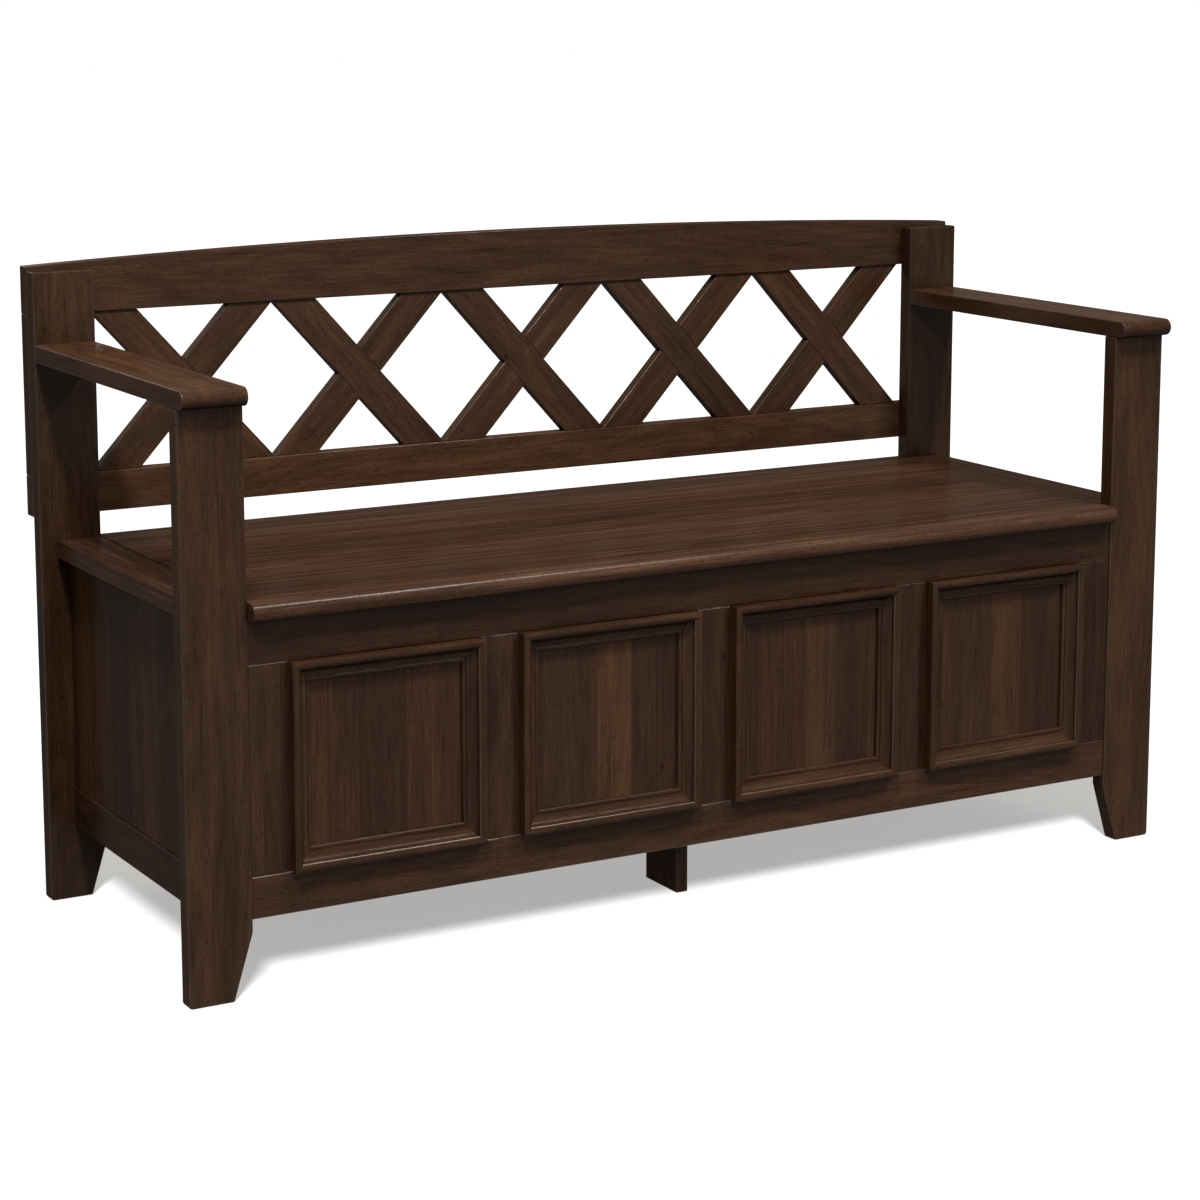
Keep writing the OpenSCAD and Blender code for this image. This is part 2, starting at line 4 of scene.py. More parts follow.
import bmesh
import bpy
import numpy as np
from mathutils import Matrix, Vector


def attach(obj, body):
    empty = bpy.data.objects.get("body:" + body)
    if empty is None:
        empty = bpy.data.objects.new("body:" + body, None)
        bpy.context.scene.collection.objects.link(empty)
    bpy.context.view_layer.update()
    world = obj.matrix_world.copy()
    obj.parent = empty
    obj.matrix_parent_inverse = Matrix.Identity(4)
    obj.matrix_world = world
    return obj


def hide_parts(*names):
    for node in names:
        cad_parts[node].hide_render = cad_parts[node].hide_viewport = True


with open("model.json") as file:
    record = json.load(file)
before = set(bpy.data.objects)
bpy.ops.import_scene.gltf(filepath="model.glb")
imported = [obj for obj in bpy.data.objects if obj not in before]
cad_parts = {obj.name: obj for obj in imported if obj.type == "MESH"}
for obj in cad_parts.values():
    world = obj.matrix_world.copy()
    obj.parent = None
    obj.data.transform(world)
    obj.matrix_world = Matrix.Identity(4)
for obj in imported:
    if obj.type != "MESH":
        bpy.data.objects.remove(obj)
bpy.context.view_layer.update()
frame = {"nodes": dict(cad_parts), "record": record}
scene = bpy.context.scene
mm = 0.001


def linearHex(code):  # an sRGB hex colour as Blender's linear values
    parts = [int(code[i:i + 2], 16) / 255 for i in (1, 3, 5)]
    return [c / 12.92 if c <= 0.04045 else ((c + 0.055) / 1.055) ** 2.4 for c in parts] + [1.0]


def addNode(tree, kind, settings=None, inputs=None):
    node = tree.nodes.new(kind)
    for key, value in (settings or {}).items():
        setattr(node, key, value)
    for key, value in (inputs or {}).items():
        if isinstance(value, bpy.types.NodeSocket):
            tree.links.new(value, node.inputs[key])
        else:
            node.inputs[key].default_value = value
    return node


def addObject(name, data):
    piece = bpy.data.objects.new(name, data)
    scene.collection.objects.link(piece)
    return piece


def newMaterial(name):
    material = bpy.data.materials.new(name)
    material.use_nodes = True
    tree = material.node_tree
    tree.nodes.clear()
    shader = addNode(tree, "ShaderNodeBsdfPrincipled")
    addNode(tree, "ShaderNodeOutputMaterial", None, {"Surface": shader.outputs[0]})
    return material, tree, shader


def newTree(name, sizes):  # a Geometry Nodes tree with one named input for each size
    tree = bpy.data.node_groups.new(name, "GeometryNodeTree")
    tree.interface.new_socket(name="Geometry", in_out="OUTPUT", socket_type="NodeSocketGeometry")
    kinds = {int: "NodeSocketInt", float: "NodeSocketFloat", tuple: "NodeSocketVector"}
    sockets = {}
    for label, value in sizes.items():
        kind = kinds.get(type(value), "NodeSocketMaterial")
        socket = tree.interface.new_socket(name=label, in_out="INPUT", socket_type=kind)
        sockets[label] = socket.identifier
    group = addNode(tree, "NodeGroupInput")
    return tree, {label: group.outputs[label] for label in sizes}, sockets


def storeGrain(tree, geometry, place):  # grain runs along the stick's own Z, and X lies across it
    part = addNode(tree, "ShaderNodeSeparateXYZ", None, {0: place})
    grain = addNode(tree, "ShaderNodeCombineXYZ", None,
                    {0: part.outputs["Z"], 1: part.outputs["X"], 2: part.outputs["Y"]})
    return addNode(tree, "GeometryNodeStoreNamedAttribute",
                   {"data_type": "FLOAT_VECTOR", "domain": "POINT"},
                   {"Geometry": geometry, "Name": "grain", "Value": grain.outputs[0]}).outputs[0]


def endTree(tree, geometry, material, smooth=True):  # every tree ends in plain geometry
    real = addNode(tree, "GeometryNodeRealizeInstances", None, {"Geometry": geometry})
    shaded = addNode(tree, "GeometryNodeSetShadeSmooth", None,
                     {"Geometry": real.outputs[0], "Shade Smooth": smooth})
    painted = addNode(tree, "GeometryNodeSetMaterial", None,
                      {"Geometry": shaded.outputs[0], "Material": material})
    addNode(tree, "NodeGroupOutput", None, {"Geometry": painted.outputs[0]})


def growTree(name, tree, sockets, sizes):
    piece = addObject(name, bpy.data.meshes.new(name))
    piece.data.materials.append(sizes["Material"])
    piece.data.materials.append(sizes["Material"])
    grower = piece.modifiers.new("grow", "NODES")
    grower.node_group = tree
    for label, value in sizes.items():
        grower[sockets[label]] = value
    return piece


def easeEdges(piece, radius, mark, steps=3):  # mark: the material slot of the eased faces
    bevel = piece.modifiers.new("ease", "BEVEL")
    bevel.width, bevel.segments = radius, steps
    bevel.limit_method, bevel.angle_limit = "ANGLE", math.radians(30)
    bevel.material = mark
    if steps > 1:  # the large faces keep their own normals, so only the eased edges look round
        even = piece.modifiers.new("even", "WEIGHTED_NORMAL")
        even.mode, even.weight = "FACE_AREA", 100


def plainMesh(piece, mark=None, shine=0.3):  # what the modifiers make, as the object's own mesh
    seen = piece.evaluated_get(bpy.context.evaluated_depsgraph_get())
    mesh = bpy.data.meshes.new_from_object(seen)
    mesh.name = piece.name
    piece.modifiers.clear()
    piece.data = mesh
    if mark is not None:
        slotOf = np.empty(len(mesh.polygons), np.int32)
        mesh.polygons.foreach_get("material_index", slotOf)
        arris = mesh.attributes.new("arris", "FLOAT", "FACE")
        arris.data.foreach_set("value", shine * (slotOf == mark).astype(np.float32))
    mesh.polygons.foreach_set("material_index", np.zeros(len(mesh.polygons), np.int32))
    material = [material for material in mesh.materials if material][-1]
    mesh.materials.clear()
    mesh.materials.append(material)


def setGrain(mesh, along, across, board):  # the board's own directions, and its number from 0 to 1
    points = np.empty(len(mesh.vertices) * 3, np.float32)
    mesh.vertices.foreach_get("co", points)
    points = points.reshape(-1, 3)
    through = np.cross(along, across)
    grain = np.stack([points @ np.array(d, float) for d in (along, across, through)], 1)
    grain -= (grain.min(0) + grain.max(0)) / 2
    store = mesh.attributes.new("grain", "FLOAT_VECTOR", "POINT")
    store.data.foreach_set("vector", grain.astype(np.float32).ravel())
    store = mesh.attributes.new("board", "FLOAT", "POINT")
    store.data.foreach_set("value", np.full(len(points), board, np.float32))


streaks = {
    # repeats in a metre along the grain, across it and through the board; shift; detail; roughness
    "warmth": ((4.0, 30.0, 30.0), (5.0, 1.0, 2.0), 3.0, 0.6),  # drifts to a redder brown, 250 by 33 mm
    "sway": ((1.6, 9.0, 9.0), (0.0, 0.0, 0.0), 2.0, 0.5),  # how the growth rings wander, 600 by 110 mm
    "fibre": ((14.0, 520.0, 520.0), (0.0, 0.0, 0.0), 3.0, 0.65),  # 70 by 2 mm, coarser than real ones
    "pore": ((160.0, 1000.0, 1000.0), (0.0, 0.0, 0.0), 1.0, 0.5),  # 6 by 1 mm, where real ones are 0.2
    "vessel": ((9.0, 420.0, 420.0), (7.0, 3.0, 1.0), 2.0, 0.5),  # 110 by 1 mm, coarser than real ones
}
rings = {  # in metres
    "gap": 5 * mm,
    "heart": (0.0, 0.013, 0.07),  # 70 mm below the board
    "stretch": (0.12, 1.0, 1.0),
    "wander": 0.06,
}
knots = {"cells": (16.0, 33.0, 33.0), "share": 0.9}  # in one cell of ten, each 60 by 30 mm
coatIndex = 2.4  # the sheen stays nearly even from the front round to the sides


# walnut stain wiped on bare wood under satin lacquer: dark cloudy streaks, open pores, a low soft sheen
def stainedWood(name, dark, mid, light, size):
    material, tree, shader = newMaterial(name)
    place = addNode(tree, "ShaderNodeAttribute", {"attribute_name": "grain"}).outputs["Vector"]
    board = addNode(tree, "ShaderNodeAttribute", {"attribute_name": "board"}).outputs["Fac"]
    arris = addNode(tree, "ShaderNodeAttribute", {"attribute_name": "arris"}).outputs["Fac"]
    # each board is cut from its own place in the pattern
    jump = addNode(tree, "ShaderNodeVectorMath", {"operation": "SCALE"},
                   {0: (31.0, 17.0, 13.0), "Scale": board}).outputs[0]
    spot = addNode(tree, "ShaderNodeVectorMath", {"operation": "ADD"}, {0: place, 1: jump}).outputs[0]
    hue = addNode(tree, "ShaderNodeTexWhiteNoise", {"noise_dimensions": "1D"},
                  {"W": board}).outputs["Value"]
    tone = board
    seam = None
    if size["stave"]:  # staves glued side by side, each from another board
        across = addNode(tree, "ShaderNodeSeparateXYZ", None, {0: place}).outputs["Y"]
        cell = addNode(tree, "ShaderNodeMath", {"operation": "MULTIPLY_ADD"},
                       {0: across, 1: 1 / (size["stave"] * mm), 2: size["staveStart"]}).outputs[0]
        batch = addNode(tree, "ShaderNodeMath", {"operation": "MULTIPLY"},
                        {0: board, 1: 97.0}).outputs[0]
        batch = addNode(tree, "ShaderNodeMath", {"operation": "FLOOR"}, {0: batch}).outputs[0]
        cell = addNode(tree, "ShaderNodeMath", {"operation": "ADD"}, {0: cell, 1: batch}).outputs[0]
        stave = addNode(tree, "ShaderNodeTexVoronoi",
                        {"voronoi_dimensions": "1D", "feature": "SMOOTH_F1"},
                        {"W": cell, "Scale": 1.0,
                         "Smoothness": size["staveBlend"], "Randomness": size["staveUneven"]})
        dice = addNode(tree, "ShaderNodeSeparateColor", None, {0: stave.outputs["Color"]})
        tone, hue = dice.outputs[0], dice.outputs[1]
        hop = addNode(tree, "ShaderNodeVectorMath", {"operation": "SCALE"},
                      {0: (3.0, 0.0, 5.0), "Scale": tone}).outputs[0]
        spot = addNode(tree, "ShaderNodeVectorMath", {"operation": "ADD"}, {0: spot, 1: hop}).outputs[0]
        edge = addNode(tree, "ShaderNodeTexVoronoi",
                       {"voronoi_dimensions": "1D", "feature": "DISTANCE_TO_EDGE"},
                       {"W": cell, "Scale": 1.0, "Randomness": size["staveUneven"]}).outputs["Distance"]
        seam = addNode(tree, "ShaderNodeMapRange", None,
                       {"Value": edge, 1: 0.0, 2: 0.9 / size["stave"], 3: 1.0, 4: 0.0}).outputs[0]
    # figure: cloudy streaks, on the frame about 150 mm long and 20 mm wide
    cloudSpot = addNode(tree, "ShaderNodeMapping", None, {0: spot, "Scale": size["cloud"]}).outputs[0]
    cloud = addNode(tree, "ShaderNodeTexNoise", None,
                    {0: cloudSpot, "Scale": 1.0, "Detail": 4.0,
                     "Roughness": 0.62, "Distortion": 0.4}).outputs[0]
    noise = {}
    for label, (repeats, shift, detail, roughness) in streaks.items():
        at = addNode(tree, "ShaderNodeMapping", None, {0: spot, "Location": shift, "Scale": repeats})
        noise[label] = addNode(tree, "ShaderNodeTexNoise", None,
                               {0: at.outputs[0], "Scale": 1.0, "Detail": detail,
                                "Roughness": roughness}).outputs[0]
    fibre = noise["fibre"]
    # growth rings round a heart below the board, swaying along it
    ringSpot = addNode(tree, "ShaderNodeMapping", None,
                       {0: place, "Location": rings["heart"], "Scale": rings["stretch"]}).outputs[0]
    reach = addNode(tree, "ShaderNodeVectorMath", {"operation": "LENGTH"},
                    {0: ringSpot}).outputs["Value"]
    wander = addNode(tree, "ShaderNodeMath", {"operation": "MULTIPLY_ADD"},
                     {0: noise["sway"], 1: rings["wander"], 2: reach}).outputs[0]
    turn = addNode(tree, "ShaderNodeMath", {"operation": "MULTIPLY"},
                   {0: wander, 1: 2 * math.pi / rings["gap"]}).outputs[0]
    wave = addNode(tree, "ShaderNodeMath", {"operation": "SINE"}, {0: turn}).outputs[0]
    ring = addNode(tree, "ShaderNodeMapRange", None,
                   {"Value": wave, 1: -0.2, 2: 1.0, 3: 0.0, 4: 1.0}).outputs[0]
    pore = addNode(tree, "ShaderNodeMapRange", None,
                   {"Value": noise["pore"], 1: 0.56, 2: 0.7, 3: 0.0, 4: 1.0}).outputs[0]
    line = addNode(tree, "ShaderNodeMapRange", None,
                   {"Value": noise["vessel"], 1: 0.64, 2: 0.72, 3: 0.0, 4: 1.0}).outputs[0]
    # pin knots: one dark fleck of 2 to 4 mm in the chosen cells
    knotSpot = addNode(tree, "ShaderNodeMapping", None, {0: spot, "Scale": knots["cells"]}).outputs[0]
    knotCell = addNode(tree, "ShaderNodeTexVoronoi", None, {0: knotSpot, "Scale": 1.0})
    chosen = addNode(tree, "ShaderNodeSeparateColor", None, {0: knotCell.outputs["Color"]}).outputs[2]
    chosen = addNode(tree, "ShaderNodeMath", {"operation": "GREATER_THAN"},
                     {0: chosen, 1: knots["share"]}).outputs[0]
    knot = addNode(tree, "ShaderNodeMapRange", None,
                   {"Value": knotCell.outputs["Distance"], 1: 0.03, 2: 0.11, 3: 1.0, 4: 0.0}).outputs[0]
    knot = addNode(tree, "ShaderNodeMath", {"operation": "MULTIPLY"}, {0: knot, 1: chosen}).outputs[0]

    shade = 0.5
    for value, low, high, weight in ((cloud, 0.3, 0.7, size["figure"]),
                                     (tone, 0.0, 1.0, size["boards"]),
                                     (fibre, 0.3, 0.7, size["fibre"]),
                                     (ring, 1.0, 0.0, size["rings"])):
        part = addNode(tree, "ShaderNodeMapRange", {"clamp": False},
                       {"Value": value, 1: low, 2: high, 3: -weight / 2, 4: weight / 2}).outputs[0]
        shade = addNode(tree, "ShaderNodeMath", {"operation": "ADD"}, {0: shade, 1: part}).outputs[0]
    ramp = addNode(tree, "ShaderNodeValToRGB", None, {0: shade})
    first, last = ramp.color_ramp.elements
    first.position, first.color = 0.0, linearHex(dark)
    last.position, last.color = 1.0, linearHex(light)
    ramp.color_ramp.elements.new(0.5).color = linearHex(mid)
    warmth = addNode(tree, "ShaderNodeMath", {"operation": "ADD"},
                     {0: noise["warmth"], 1: hue}).outputs[0]
    warmth = addNode(tree, "ShaderNodeMapRange", None,
                     {"Value": warmth, 1: 0.6, 2: 1.4, 3: 0.0, 4: 1.0}).outputs[0]
    # the board's number also says how dark it took the stain, and on the stiles it carries painted shade
    # as well
    depth = addNode(tree, "ShaderNodeMapRange", None,
                    {"Value": board, 1: 0.0, 2: 1.0,
                     3: 1 - size["depth"], 4: 1 + size["depth"]}).outputs[0]
    if size["paintedLightBand"]:  # painted light: a band along the seat's front edge is made 1.42 times lighter, standing in for the brighter light that falls along the front edge
        lip = addNode(tree, "ShaderNodeMapRange", None,
                      {"Value": across, 1: (size["paintedLightBand"] - 4) * mm, 2: size["paintedLightBand"] * mm,
                       3: 1.42, 4: 1.0}).outputs[0]
        depth = addNode(tree, "ShaderNodeMath", {"operation": "MULTIPLY"}, {0: depth, 1: lip}).outputs[0]
    colour = addNode(tree, "ShaderNodeVectorMath", {"operation": "SCALE"},
                     {0: ramp.outputs[0], "Scale": depth}).outputs[0]
    for factor, tint in ((warmth, "#fdf4f2"), (pore, "#c6b9af"), (line, "#b3a194"),
                         (knot, "#8c7468"), (seam, "#c4b6ad")):
        if factor:
            colour = addNode(tree, "ShaderNodeMix", {"data_type": "RGBA", "blend_type": "MULTIPLY"},
                             {"Factor": factor, 6: colour, 7: linearHex(tint)}).outputs[2]
    tree.links.new(colour, shader.inputs["Base Color"])
    rough = addNode(tree, "ShaderNodeMapRange", None,
                    {"Value": fibre, 1: 0.3, 2: 0.7, 3: 0.5, 4: 0.65}).outputs[0]
    tree.links.new(rough, shader.inputs["Roughness"])
    # a thin lacquer coat, rubbed to a shine on the arrises, where it draws fine bright lines
    coat = addNode(tree, "ShaderNodeMapRange", None,
                   {"Value": arris, 1: 0.0, 2: 1.0, 3: size["coat"], 4: size["arrisCoat"]}).outputs[0]
    tree.links.new(coat, shader.inputs["Coat Weight"])
    shader.inputs["Coat Roughness"].default_value = size["coatRough"]
    shader.inputs["Coat IOR"].default_value = coatIndex
    flat = addNode(tree, "ShaderNodeMath", {"operation": "SUBTRACT"}, {0: 1.0, 1: arris}).outputs[0]
    relief = addNode(tree, "ShaderNodeMath", {"operation": "MULTIPLY_ADD"},
                     {0: pore, 1: -0.8, 2: fibre}).outputs[0]
    relief = addNode(tree, "ShaderNodeMath", {"operation": "MULTIPLY"}, {0: relief, 1: flat}).outputs[0]
    bump = addNode(tree, "ShaderNodeBump", None,
                   {"Height": relief, "Strength": 0.25, "Distance": 0.15 * mm}).outputs[0]
    tree.links.new(bump, shader.inputs["Normal"])
    tree.links.new(bump, shader.inputs["Coat Normal"])
    shader.inputs["Specular IOR Level"].default_value = 0.0
    return material


def blackSteel(name):  # steel strip, black powder coat: a fine orange peel and a soft sheen
    material, tree, shader = newMaterial(name)
    place = addNode(tree, "ShaderNodeTexCoord").outputs["Object"]
    peel = addNode(tree, "ShaderNodeTexNoise", None,  # dimples 1 mm apart
                   {0: place, "Scale": 900.0, "Detail": 2.0}).outputs[0]
    shader.inputs["Base Color"].default_value = linearHex("#1e1e20")
    rough = addNode(tree, "ShaderNodeMapRange", None,
                    {"Value": peel, 1: 0.3, 2: 0.7, 3: 0.42, 4: 0.58}).outputs[0]
    tree.links.new(rough, shader.inputs["Roughness"])
    bump = addNode(tree, "ShaderNodeBump", None,
                   {"Height": peel, "Strength": 0.2, "Distance": 0.1 * mm}).outputs[0]
    tree.links.new(bump, shader.inputs["Normal"])
    return material


def zincSteel(name):  # pressed steel, bright zinc plate: pale grey with faint cloudy spangle
    material, tree, shader = newMaterial(name)
    place = addNode(tree, "ShaderNodeTexCoord").outputs["Object"]
    cloud = addNode(tree, "ShaderNodeTexNoise", None,  # spangles of 4 mm
                    {0: place, "Scale": 240.0, "Detail": 3.0}).outputs[0]
    ramp = addNode(tree, "ShaderNodeValToRGB", None, {0: cloud})
    first, last = ramp.color_ramp.elements
    first.position, first.color = 0.3, linearHex("#9a9da1")
    last.position, last.color = 0.7, linearHex("#b9bcbf")
    tree.links.new(ramp.outputs[0], shader.inputs["Base Color"])
    rough = addNode(tree, "ShaderNodeMapRange", None,
                    {"Value": cloud, 1: 0.3, 2: 0.7, 3: 0.28, 4: 0.42}).outputs[0]
    tree.links.new(rough, shader.inputs["Roughness"])
    shader.inputs["Metallic"].default_value = 1.0
    return material


finish = {  # staves and the painted light band in mm, cloud in repeats in a metre, weights of each figure, lacquer
    "frame": {"stave": 0, "paintedLightBand": 0, "cloud": (6.5, 42.0, 42.0),  # solid, each board its own tone
              "figure": 0.65, "boards": 0.0, "depth": 0.5, "fibre": 0.4, "rings": 0.15,
              "coat": 0.033, "arrisCoat": 0.2, "coatRough": 0.22},
    "panel": {"stave": 50, "staveStart": 0.3, "staveUneven": 0.8, "staveBlend": 0.2,  # uneven staves
              "paintedLightBand": 0, "cloud": (6.5, 42.0, 42.0),
              "figure": 0.4, "boards": 0.6, "depth": 0.5, "fibre": 0.5, "rings": 0.1,
              "coat": 0.033, "arrisCoat": 0.2, "coatRough": 0.22},
    "seat": {"stave": 51, "staveStart": 4.38, "staveUneven": 0.12, "staveBlend": 0.1,  # close streaks
             "paintedLightBand": -192, "cloud": (4.5, 120.0, 120.0),
             "figure": 0.9, "boards": 0.35, "depth": 0.5, "fibre": 0.4, "rings": 0.1,
             "coat": 0.033, "arrisCoat": 0.08, "coatRough": 0.22},
    "inner": {"stave": 0, "paintedLightBand": 0, "cloud": (6.5, 42.0, 42.0),  # unstained, pale with plain rings
              "figure": 0.5, "boards": 0.0, "depth": 0.2, "fibre": 0.3, "rings": 0.5,
              "coat": 0.02, "arrisCoat": 0.04, "coatRough": 0.3},
}
frameWood = stainedWood("hardwoodWalnutStainSatin", "#24170d", "#312116", "#402d1d", finish["frame"])
panelWood = stainedWood("stavedPanelWalnutStainSatin", "#23160f", "#312116", "#432f1d", finish["panel"])
seatWood = stainedWood("stavedSeatWalnutStainSatin", "#2e2017", "#412e22", "#564030", finish["seat"])
innerWood = stainedWood("plywoodAndPineThinLacquer", "#6d5238", "#8a6a49", "#a3825c", finish["inner"])
hingeSteel = zincSteel("pressedSteelZincPlate")
staySteel = blackSteel("steelStripBlackPowderCoat")
print("finishes made")


boards = {
    # node: (grain direction, direction across, edge radius in mm, depth of stain, slot)
    "front_leg_left": ("Z", "X", 1.6, 0.58, "frame_wood"),
    "front_leg_right": ("Z", "X", 1.6, 0.65, "frame_wood"),
    "back_post_left": ("Z", "X", 1.6, 0.3, "frame_wood"),
    "back_post_right": ("Z", "X", 1.6, 0.26, "frame_wood"),
    "arm_left": ("Y", "X", 1.5, 0.6, "frame_wood"),
    "arm_right": ("Y", "X", 1.5, 0.6, "frame_wood"),
    "crest_rail": ("X", "Z", 1.5, 0.42, "frame_wood"),
    "lower_back_rail": ("X", "Z", 1.2, 0.73, "frame_wood"),
    "back_stile_left": ("Z", "X", 1.2, 0.36, "frame_wood"),
    "back_stile_right": ("Z", "X", 1.2, 0.38, "frame_wood"),
    "apron": ("X", "Z", 0.8, 0.28, "frame_wood"),
    "front_bottom_rail": ("X", "Z", 0.8, 0.7, "frame_wood"),
    "side_rail_left": ("Y", "Z", 0.8, 0.4, "frame_wood"),
    "side_rail_right": ("Y", "Z", 0.8, 0.44, "frame_wood"),
    "upper_rear_rail": ("X", "Z", 0.5, 0.492, "frame_wood"),
    "lower_rear_rail": ("X", "Z", 0.8, 0.496, "frame_wood"),
    "centre_foot": ("Z", "Y", 1.2, 0.500, "frame_wood"),
    "front_panel_1": ("Z", "X", 0.3, 0.58, "panel_wood"),
    "front_panel_2": ("Z", "X", 0.3, 0.64, "panel_wood"),
    "front_panel_3": ("Z", "X", 0.3, 0.45, "panel_wood"),
    "front_panel_4": ("Z", "X", 0.3, 0.52, "panel_wood"),
    "side_panel_left": ("Z", "Y", 0.5, 0.57, "panel_wood"),
    "side_panel_right": ("Z", "Y", 0.5, 0.55, "panel_wood"),
    "seat_strip_left": ("Y", "X", 1.0, 0.528, "seat_wood"),
    "seat_strip_right": ("Y", "X", 1.0, 0.532, "seat_wood"),
    "lid_panel": ("X", "Y", 1.0, 0.536, "seat_wood"),
    "upper_side_rail_left": ("Y", "Z", 0.8, 0.540, "inner_wood"),
    "upper_side_rail_right": ("Y", "Z", 0.8, 0.544, "inner_wood"),
    "back_panel": ("X", "Z", 0.2, 0.548, "inner_wood"),
    "bottom_panel": ("X", "Y", 0.3, 0.552, "inner_wood"),
    "bottom_cleats": ("X", "Y", 0.8, 0.556, "inner_wood"),
    "corner_blocks": ("Z", "X", 0.8, 0.560, "inner_wood"),
    "centre_bearer": ("Y", "Z", 0.8, 0.564, "inner_wood"),
    "lid_battens": ("Y", "X", 1.2, 0.568, "inner_wood"),
}
woods = {"frame_wood": frameWood, "panel_wood": panelWood,
         "seat_wood": seatWood, "inner_wood": innerWood}
axes = {"X": (1, 0, 0), "Y": (0, 1, 0), "Z": (0, 0, 1)}
merge = {"points": 1e-6, "faces": 0.0008}  # metres between points, and radians between flat faces
armTopShine = 0.25  # hands have rubbed the tops of the arms to a low shine
bodyOf = {n: body for body, names in frame["record"]["behaviour"]["bodies"].items() for n in names}


def easedBoard(node):
    along, across, radius, depth, slot = boards[node]
    mesh = frame["nodes"][node].data.copy()
    work = bmesh.new()
    work.from_mesh(mesh)
    bmesh.ops.remove_doubles(work, verts=work.verts, dist=merge["points"])
    bmesh.ops.dissolve_limit(work, angle_limit=merge["faces"], verts=work.verts, edges=work.edges)
    work.to_mesh(mesh)
    work.free()
    mesh.materials.clear()
    mesh.materials.append(woods[slot])
    mesh.materials.append(woods[slot])
    piece = addObject(node + "_eased", mesh)
    if node == "front_bottom_rail":  # small flat chamfers, which draw the bright lines under the stiles
        mesh.shade_flat()
        easeEdges(piece, radius * mm, 1, 1)
        plainMesh(piece, 1, 1.0)
    else:
        mesh.shade_smooth()
        easeEdges(piece, radius * mm, 1)
        plainMesh(piece, 1)
    setGrain(piece.data, axes[along], axes[across], depth)
    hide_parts(node)
    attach(piece, bodyOf[node])


for node in boards:
    easedBoard(node)
for side in ("left", "right"):
    mesh = bpy.data.objects[f"arm_{side}_eased"].data
    for face in mesh.polygons:
        if face.normal.z > 0.9:
            mesh.attributes["arris"].data[face.index].value = armTopShine
print("boards eased:", len(boards))


lattice = {
    "Crosses": 5,
    "Pitch": 223.48 * mm,
    "First": (-558.7 * mm, 221 * mm, 492 * mm),
    "Slat Width": 55 * mm,
    "Slat Thickness": 15 * mm,
    "Height": 184.5 * mm,
    "Seed": 7,
    "Material": frameWood,
}


def slatBlock(tree, size, rise, low, high):  # a slat's leaning box between two shares of its thickness
    thick = addNode(tree, "ShaderNodeMath", {"operation": "MULTIPLY"},
                    {0: size["Slat Thickness"], 1: high - low}).outputs[0]
    whole = addNode(tree, "ShaderNodeCombineXYZ", None,
                    {0: size["Slat Width"], 1: thick, 2: size["Height"]}).outputs[0]
    box = addNode(tree, "GeometryNodeMeshCube", None, {"Size": whole})
    back = addNode(tree, "ShaderNodeMath", {"operation": "MULTIPLY"},
                   {0: size["Slat Thickness"], 1: (low + high) / 2}).outputs[0]
    run = addNode(tree, "ShaderNodeMath", {"operation": "SUBTRACT"},
                  {0: size["Pitch"], 1: size["Slat Width"]}).outputs[0]
    at = addNode(tree, "GeometryNodeInputPosition").outputs[0]
    spot = addNode(tree, "ShaderNodeSeparateXYZ", None, {0: at})
    share = addNode(tree, "ShaderNodeMath", {"operation": "DIVIDE"},
                    {0: spot.outputs["Z"], 1: size["Height"]}).outputs[0]
    lean = addNode(tree, "ShaderNodeMath", {"operation": "MULTIPLY"}, {0: share, 1: run}).outputs[0]
    if not rise:
        lean = addNode(tree, "ShaderNodeMath", {"operation": "MULTIPLY"}, {0: lean, 1: -1.0}).outputs[0]
    move = addNode(tree, "ShaderNodeCombineXYZ", None, {0: lean, 1: back, 2: 0.0}).outputs[0]
    return addNode(tree, "GeometryNodeSetPosition", None,
                   {"Geometry": box.outputs[0], "Offset": move}).outputs[0]


